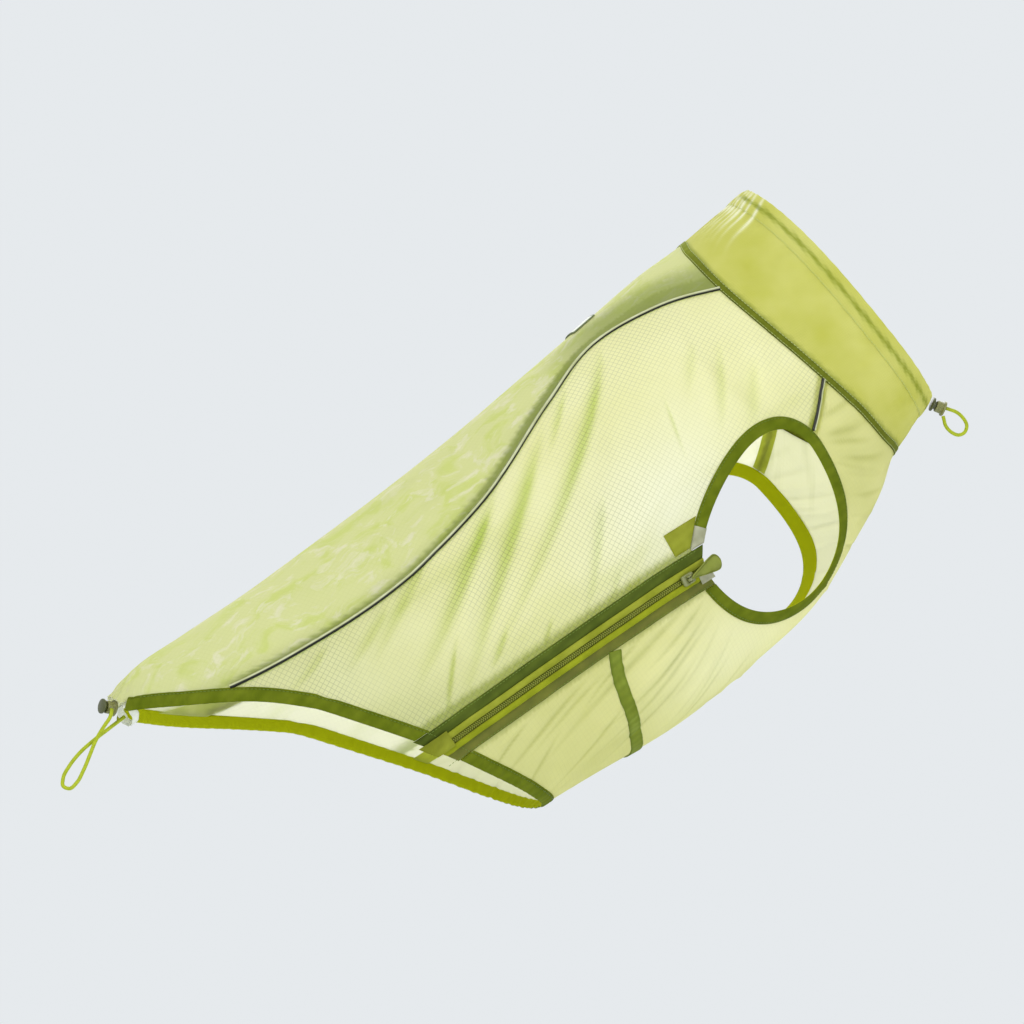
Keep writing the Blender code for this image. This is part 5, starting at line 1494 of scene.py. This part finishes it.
asides, section = roundedAsides(0.0, -cut["armBinding"] - keeper["overhang"], 15)
starts = [armAngle(aside, -zipReach) for aside in (0.0, -cut["armBinding"])]
columns = []
for aside in asides:
    start = starts[0] + (starts[1] - starts[0]) * aside / -cut["armBinding"]
    columns.append(armLine.at(np.linspace(start, keeperEnd, 24), aside))
chart = np.stack(columns, axis=1)
swell = np.minimum(1, 0.35 + 2.2 * np.sin(math.pi * np.linspace(0, 1, 24)))
bulge = keeper["wall"] * section[None] * swell[:, None]
# painted shade across the keeper, deeper towards its outer edge
keeperShadePaint = columnPaint(np.linspace(0.1, 0.25, 15))
fold = clothPiece("binding_keeper_fold", "binding_keeper", chart, bulge, keeperCloth, paint=keeperShadePaint)

labelSizes = {"front": -87.0, "rear": -107.0, "halfTurn": 9.5, "lift": 1.1}
labelCloth = ribbonCloth("woven satin patch, white", {**tapeLook, "pale": "#F2F3EA", "deep": "#E8EADC",
                                                      "shade": "#5A6636", "rib": 0.7, "ribShare": 0.1,
                                                      "through": 0.1})


def labelPaint(chart):
    # a dark stitched edge all round
    u = (chart[..., 0] - labelSizes["rear"]) / (labelSizes["front"] - labelSizes["rear"])
    v = 0.5 + chart[..., 1] / labelSizes["halfTurn"] / 2
    inset = np.minimum(np.minimum(u, 1 - u) * 20, np.minimum(v, 1 - v) * 24)
    return {"shade": 0.9 * (1 - smoothStep(inset, 0.7, 1.3))}


rows = np.linspace(labelSizes["front"], labelSizes["rear"], 40)
turnsAcross = np.linspace(-1, 1, 48) * labelSizes["halfTurn"]
chart = np.stack(np.meshgrid(rows, turnsAcross, indexing="ij"), axis=-1)
labelPiece = clothPiece(
    "back_label_patch", "back_label", chart, walls["label"], labelCloth, lift=labelSizes["lift"], paint=labelPaint
)
print("tabs made")


# Slider and pull.

slider = {"station": -177.0, "base": 2.2, "length": 9.5, "width": 7.4, "height": 2.4}
lugs = {"from": 1.7, "to": 2.7, "halfLength": 1.7, "foot": 1.6, "top": 5.6}
pin = {"radius": 0.6, "height": 4.3, "length": 5.0}
pull = {"eye": 1.7, "hole": 0.95, "halfEye": 0.95, "start": 4.0, "length": 26.0, "tip": 4.5,
        "halfThick": 0.9, "yaw": 2.0}
pullHalfWidths = table("along halfWidth", [(4, 1.6), (8, 2.6), (14, 4.2), (20, 5.6), (24, 6.0)])
metalPaint = moulded("slider enamel, olive", {"pale": "#7B7F46", "deep": "#4E5224", "grainSize": 3.0,
                                              "roughness": 0.34, "specular": 0.6})


def unit(vector):
    return np.asarray(vector, float) / np.linalg.norm(vector)


def sliderFrame():
    # its forward, left and outward axes as columns, and its foot's place in metres
    chart = zipLine.at(slider["station"])
    before, behind = (skin(zipLine.at(slider["station"] + step), fine=False) for step in (4, -4))
    forward = unit(before - behind)
    out = unit(outward(chart) - (outward(chart) @ forward) * forward)
    axes = np.stack([turnMatrix @ forward, turnMatrix @ np.cross(out, forward), turnMatrix @ out], axis=1)
    return axes, placed(skin(chart, slider["base"], fine=False))


sliderAxes, sliderFoot = sliderFrame()


def intoFrame(points, axes, foot):
    return points * mm @ axes.T + foot


def roundedBox(low, high, power=6.0, rows=25, sides=48):
    # a box with soft edges: a superellipsoid, whose sine and cosine are flattened by a power
    low, high = np.array(low, float), np.array(high, float)
    a = np.linspace(-1, 1, rows)[:, None] * math.pi / 2
    b = np.arange(sides)[None] * 2 * math.pi / sides

    def flat(v):
        return np.sign(v) * np.abs(v) ** (2 / power)

    girth = np.maximum(flat(np.cos(a)), 1e-3)
    unitPoints = np.stack([flat(np.cos(b)) * girth, flat(np.sin(b)) * girth, flat(np.sin(a)) + 0 * b], axis=-1)
    return intoFrame(unitPoints * (high - low) / 2 + (high + low) / 2, sliderAxes, sliderFoot)


half = slider["length"] / 2, slider["width"] / 2
plateTop = slider["height"]
sliderForms = [roundedBox((-half[0], -half[1], 0), (half[0], half[1], plateTop))]
for sign in (1, -1):
    low, high = sorted((sign * lugs["from"], sign * lugs["to"]))
    sliderForms.append(
        roundedBox((-lugs["halfLength"], low, lugs["foot"]), (lugs["halfLength"], high, lugs["top"]))
    )
r = pin["radius"]
sliderForms.append(
    roundedBox((-r, -pin["length"] / 2, pin["height"] - r), (r, pin["length"] / 2, pin["height"] + r), 3.0)
)


def gathered(name, forms):
    # several swept forms with the same rows and sides, as one mesh
    rows, loop = forms[0].shape[:2]
    one = sweptFaces(rows, loop, False)
    faces = np.concatenate([one + i * rows * loop for i in range(len(forms))])
    return makeMesh(name, np.concatenate([form.reshape(-1, 3) for form in forms]), faces)


piece("zip_slider_body", gathered("zip_slider_body", sliderForms), metalPaint, "zip_slider")

pullTape = ribbonCloth("folded ribbon pull, olive", {**tapeLook, "pale": "#A4AD52", "deep": "#8A933C",
                                                     "shade": "#4A5018", "rib": 1.2, "ribShare": 0.3})


def pullMesh():
    # a flat tab that widens to a round tip, thicker down its middle, with its eye as a ring at the hinge
    yaw = math.radians(pull["yaw"])
    spin = np.array([[math.cos(yaw), -math.sin(yaw), 0], [math.sin(yaw), math.cos(yaw), 0], [0, 0, 1]])
    neck, tab = np.linspace(1.5, pull["start"], 6), np.linspace(pull["start"], pull["length"], 50)
    x = np.concatenate([neck[:-1], tab])
    width = smooth(x, pullHalfWidths["along"], pullHalfWidths["halfWidth"])
    neckWidth = pull["halfEye"] + (1.6 - pull["halfEye"]) * smoothStep(x, 2.2, 4)
    width = np.where(x < pull["start"], neckWidth, width)
    tipFrom = pull["length"] - pull["tip"]
    tip = np.clip((x - tipFrom) / pull["tip"], 0, 1)
    width = width * np.sqrt(np.maximum(1 - tip**2, 0.004))
    around = np.arange(32) * 2 * math.pi / 32
    c, s = np.cos(around), np.sin(around)
    c, s = np.sign(c) * np.abs(c) ** 0.5, np.sign(s) * np.abs(s) ** 0.7
    thick = pull["halfThick"] * (1 - 0.5 * tip**3)
    points = np.stack([x[:, None] + 0 * c[None], width[:, None] * c[None], thick[:, None] * s[None]], axis=-1)
    points[..., 2] += 0.12 * np.sin(points[..., 0] * 0.7)
    hinge = sliderFoot + sliderAxes @ np.array([0, 0, pin["height"]]) * mm
    flat = np.stack([x[:, None] + 0 * around[None], width[:, None] * around[None]], axis=-1) * mm
    shade = 0.6 * np.exp(-(((np.abs(points[..., 1]) - width[:, None] + 0.9) / 0.35) ** 2))
    body = swept("zip_pull_ribbon", intoFrame(points @ spin.T, sliderAxes, hinge), uv=flat,
                 attributes={"shade": shade})
    # the eye: a flat ring about the pin
    turn = np.arange(40) * 2 * math.pi / 40
    corner = np.array([(pull["hole"], -1), (pull["eye"], -1), (pull["eye"], 1), (pull["hole"], 1)], float)
    ring = np.stack(
        [
            corner[None, :, 0] * np.cos(turn)[:, None],
            corner[None, :, 1] * pull["halfEye"] + 0 * turn[:, None],
            corner[None, :, 0] * np.sin(turn)[:, None],
        ],
        axis=-1,
    )
    zero = np.zeros((40, 4))
    eye = swept("zip_pull_eye", intoFrame(ring @ spin.T, sliderAxes, hinge), ring=True,
                attributes={"shade": zero})
    return body, eye


ribbonMesh, eyeMesh = pullMesh()
piece("zip_pull_ribbon", ribbonMesh, pullTape, "zip_pull", body="zip_pull")
piece("zip_pull_eye", eyeMesh, metalPaint, body="zip_pull")
print("slider made")


# Cord locks, cords and the tail's ring.

barrel = [
    (0.02, 0), (5.0, 0), (5.3, 0.12), (5.4, 0.4), (5.4, 1.3), (5.3, 1.5), (5.0, 1.6), (4.4, 1.8), (4.2, 2.1),
    (4.2, 6.0), (4.12, 6.3), (3.9, 6.4), (3.3, 6.4), (3.2, 6.2), (3.2, 2.0), (0.02, 2.0),
]
button = [
    (0.02, 3.9), (2.6, 3.9), (2.9, 4.2), (2.9, 8.2), (3.1, 8.3), (4.6, 8.3), (4.9, 8.45), (5.0, 8.7), (5.0, 9.4),
    (4.9, 9.65), (4.6, 9.8), (0.02, 9.8),
]
lockLength = 9.8
locks = {
    "collar": {"centre": (73.4, 0.0, -194.2), "axis": (-0.50, 0.0, 0.866)},
    "tail": {"centre": (-519.2, -3.4, -5.8), "axis": (-0.66, -0.35, 0.66)},
}
ringSizes = {"centre": (-510.7, 0.0, -17.3), "halfWidth": 18.8, "halfHeight": 7.5, "length": 5.5, "wall": 1.2}
cordRadius = 1.25
# Each cord hangs in a drop-shaped loop: places in mm from its lock, in the vest's own axes.
cordRows = {
    "collar": [
        (4.3, 0.8, -4.6), (6.0, 0.9, -7.0), (8.4, 0.8, -10.8), (9.6, 0.6, -16.8), (8.0, 0.3, -23.0),
        (3.4, 0.0, -25.6), (-1.6, -0.4, -24.4), (-4.6, -0.7, -19.6), (-4.9, -0.9, -13.6), (-3.0, -1.0, -9.6),
        (-1.9, -0.9, -7.6),
    ],
    "tail": [
        (0.2, -5.2, -2.6), (-1.2, -5.2, -4.4), (-4.2, -4.8, -6.4), (-9.5, -3.4, -8.2), (-15.0, -1.0, -10.2),
        (-20.0, 1.2, -12.4), (-28.0, 2.2, -17.0), (-38.0, 2.8, -22.6), (-46.5, 3.2, -26.2), (-52.6, 3.4, -26.4),
        (-54.8, 3.6, -22.6), (-51.4, 4.0, -18.4), (-43.0, 4.4, -14.6), (-32.0, 4.8, -12.0), (-20.0, 4.9, -11.2),
        (-9.0, 4.8, -11.2), (0.0, 4.6, -11.3), (6.0, 4.5, -11.4),
    ],
}

lockPlastic = {"pale": "#8C8C52", "deep": "#6A6A36", "grainSize": 2.0, "roughness": 0.3, "specular": 0.6,
               "through": 0.2}
paleLock = moulded("cord lock, smoke olive", lockPlastic)
darkLock = moulded("cord lock button, dark olive", {**lockPlastic, "pale": "#54582A", "deep": "#34380F"})


def lockAxes(lock):
    z = unit(lock["axis"])
    x = unit(np.cross((0, 1, 0), z))
    start = np.array(lock["centre"]) - z * lockLength / 2
    axes = np.stack([turnMatrix @ x, turnMatrix @ np.cross(z, x), turnMatrix @ z], axis=1)
    return axes, placed(start)


def turnedMesh(name, profile, axes, foot, sides=64):
    # a profile of (radius, height) turned about its own axis
    profile = np.array(profile, float)
    angle = np.arange(sides) * 2 * math.pi / sides
    points = np.stack(
        [
            profile[:, :1] * np.cos(angle)[None],
            profile[:, :1] * np.sin(angle)[None],
            profile[:, 1:] + 0 * angle[None],
        ],
        axis=-1,
    )
    return swept(name, intoFrame(points, axes, foot))


def cordPlaces(rows, lock, count):
    # a smooth line through the cord's places, read at even steps, in metres
    places = np.array(rows, float) + lock["centre"]
    run = lengthAlong(places)
    fine = np.linspace(0, run[-1], 600)
    points = np.stack([smooth(fine, run, places[:, axis]) for axis in range(3)], axis=1)
    length = lengthAlong(points)
    steps = np.linspace(0, length[-1], count)
    even = np.stack([np.interp(steps, length, points[:, axis]) for axis in range(3)], axis=1)
    return placed(even), length[-1]


def braided(name, look):
    # Round braided cord: strands cross on a slant, so it shows small leaning ribs and a soft nap
    material, tree = newMaterial(name)
    flat = addNode(tree, "UVMap", uv_map="flat")
    slants = []
    for sign in (1, -1):
        leaning = addNode(tree, "Mapping", {"Vector": flat, "Rotation": (0, 0, sign * math.radians(52))})
        slants.append(addNode(tree, "TexWave", {"Vector": leaning, "Scale": 1000 / look["strand"] / 20}, "Fac"))
    weave = addNode(tree, "Math", dict(enumerate(slants)), operation="MAXIMUM")
    base = addNode(tree, "Mix", {
        0: weave, 6: colour(look["deep"]), 7: colour(look["pale"]),
    }, 2, data_type="RGBA")
    finishMaterial(tree, base, look, weave, 0.5, 0.4 * mm)
    return material


cordLook = {"pale": "#AEBA1A", "deep": "#A2AE10", "strand": 0.9, "roughness": 0.6, "through": 0.15}
cordCloth = braided("braided cord, lime", cordLook)
for place, lock in locks.items():
    axes, foot = lockAxes(lock)
    bodyMesh = turnedMesh(f"{place}_lock_body", barrel, axes, foot)
    piece(f"{place}_lock_body", bodyMesh, paleLock, f"{place}_lock_barrel")
    knobMesh = turnedMesh(f"{place}_lock_knob", button, axes, foot)
    piece(f"{place}_lock_knob", knobMesh, darkLock, f"{place}_lock_button", body=f"{place}_button")
    path, length = cordPlaces(cordRows[place], lock, 160)
    cordMesh = tubeMesh(f"{place}_cord", path, cordRadius * mm, 20)
    cordObj = piece(f"{place}_cord", cordMesh, cordCloth, f"{place}_cord_loop")
    print(place, "cord", round(length, 1), "mm")

ringCloth = ribbonCloth("webbing binding, white", {**tapeLook, "pale": "#F4F4EE", "deep": "#E6E8DC",
                                                   "shade": "#A9B078", "rib": 1.0, "ribShare": 0.12,
                                                   "through": 0.25})
angle = np.linspace(0, 2 * math.pi, 140, endpoint=False)
lengthShare = np.linspace(-0.5, 0.5, 9)
thickShare = np.maximum(np.sqrt(1 - np.abs(2 * lengthShare) ** 4), 0.1)


def ringFace(inset):
    # an oval of two half sizes, less an inset that follows the tape's rounded section
    inset = ringSizes["wall"] / 2 + inset * ringSizes["wall"] / 2 * thickShare[None]
    across = (ringSizes["halfWidth"] - inset) * np.cos(angle)[:, None]
    up = (ringSizes["halfHeight"] - inset) * np.sin(angle)[:, None]
    along = ringSizes["length"] * lengthShare[None] + 0.25 * np.sin(7 * angle)[:, None]
    return np.stack([along + 0 * up, across, up], axis=-1) + ringSizes["centre"]


points = placed(np.concatenate([ringFace(-1), ringFace(1)[:, ::-1]], axis=1))
girth = np.linspace(0, 0.09, 141)[:, None]
acrossTape = ringSizes["length"] * mm * lengthShare[None]
flat = np.stack(np.broadcast_arrays(girth, acrossTape), axis=-1)
zero = np.zeros(points.shape[:2])
mesh = swept("tail_ring_tape", points, True, np.concatenate([flat, flat[:, ::-1]], axis=1),
             {"shade": zero})
ringPiece = piece("tail_ring_tape", mesh, ringCloth, "tail_ring")
print("locks and cords made")


# The cut of each sheet of cloth.

declareSheet(back, backGrid)
declareSheet(sideRight, rightGrid)
declareSheet(sideLeft, leftGrid)
declareSheet(chest, chestGrid)
declareSheet(collarPiece, collarGrid, ring=True)
declareSheet(casingPiece, casingGrid, ring=True)
print("cuts in metres: width, length, area", cuts)


# Light, floor and camera.

world = bpy.data.worlds.new("studio")
bpy.context.scene.world = world
world.use_nodes = True
background = world.node_tree.nodes["Background"]
backdrop = "#E9EDF0"
background.inputs["Color"].default_value = colour(backdrop)
background.inputs["Strength"].default_value = 0.97

right, ahead, upward = viewAxes(view["azimuth"], view["elevation"])
middle = placed(np.array([0.0, 0.0, 2.0]))
target = middle + view["aside"] * right + view["up"] * upward
bpy.context.scene.view_settings.view_transform = "Standard"


def facing(place, at):
    # a light or a camera at a place, turned to look at another
    z = unit(place - at)
    x = unit(np.cross((0, 0, 1), z))
    matrix = np.eye(4)
    matrix[:3, 0], matrix[:3, 1], matrix[:3, 2], matrix[:3, 3] = x, np.cross(z, x), z, place
    return Matrix(matrix.tolist())


def areaLight(name, offset, size, power):
    # offset: right, ahead and up of the vest's middle, as the camera sees it
    data = bpy.data.lights.new(name, "AREA")
    data.shape, data.size, data.energy = "DISK", size, power
    obj = bpy.data.objects.new(name, data)
    bpy.context.scene.collection.objects.link(obj)
    spot = target + offset[0] * right + offset[1] * ahead + offset[2] * upward
    obj.matrix_world = facing(spot, target)


areaLight("key", (-0.9, -1.6, 1.7), 1.1, 25)
areaLight("behind", (0.5, 1.8, 1.4), 3.0, 50)
areaLight("fill", (1.6, -1.8, 0.2), 1.6, 12)

floorMesh = bpy.data.meshes.new("floor")
size, level = 30.0, -1.2
corners = [(x * size, y * size, level) for x, y in ((-1, -1), (1, -1), (1, 1), (-1, 1))]
floorMesh.from_pydata(corners, [], [(0, 1, 2, 3)])
floor = bpy.data.objects.new("floor", floorMesh)
bpy.context.scene.collection.objects.link(floor)
floorPaint, tree = newMaterial("studio floor")
addNode(tree, "OutputMaterial", {"Surface": addNode(tree, "BsdfDiffuse", {"Color": colour(backdrop)})})
floorMesh.materials.append(floorPaint)

cameraData = bpy.data.cameras.new("camera")
cameraData.lens, cameraData.sensor_width = view["lens"], 36.0
camera = bpy.data.objects.new("camera", cameraData)
bpy.context.scene.collection.objects.link(camera)
matrix = np.eye(4)
matrix[:3, 0], matrix[:3, 1], matrix[:3, 2] = right, upward, -ahead
matrix[:3, 3] = target - view["distance"] * ahead
camera.matrix_world = Matrix(matrix.tolist())
bpy.context.scene.camera = camera

print("finished")
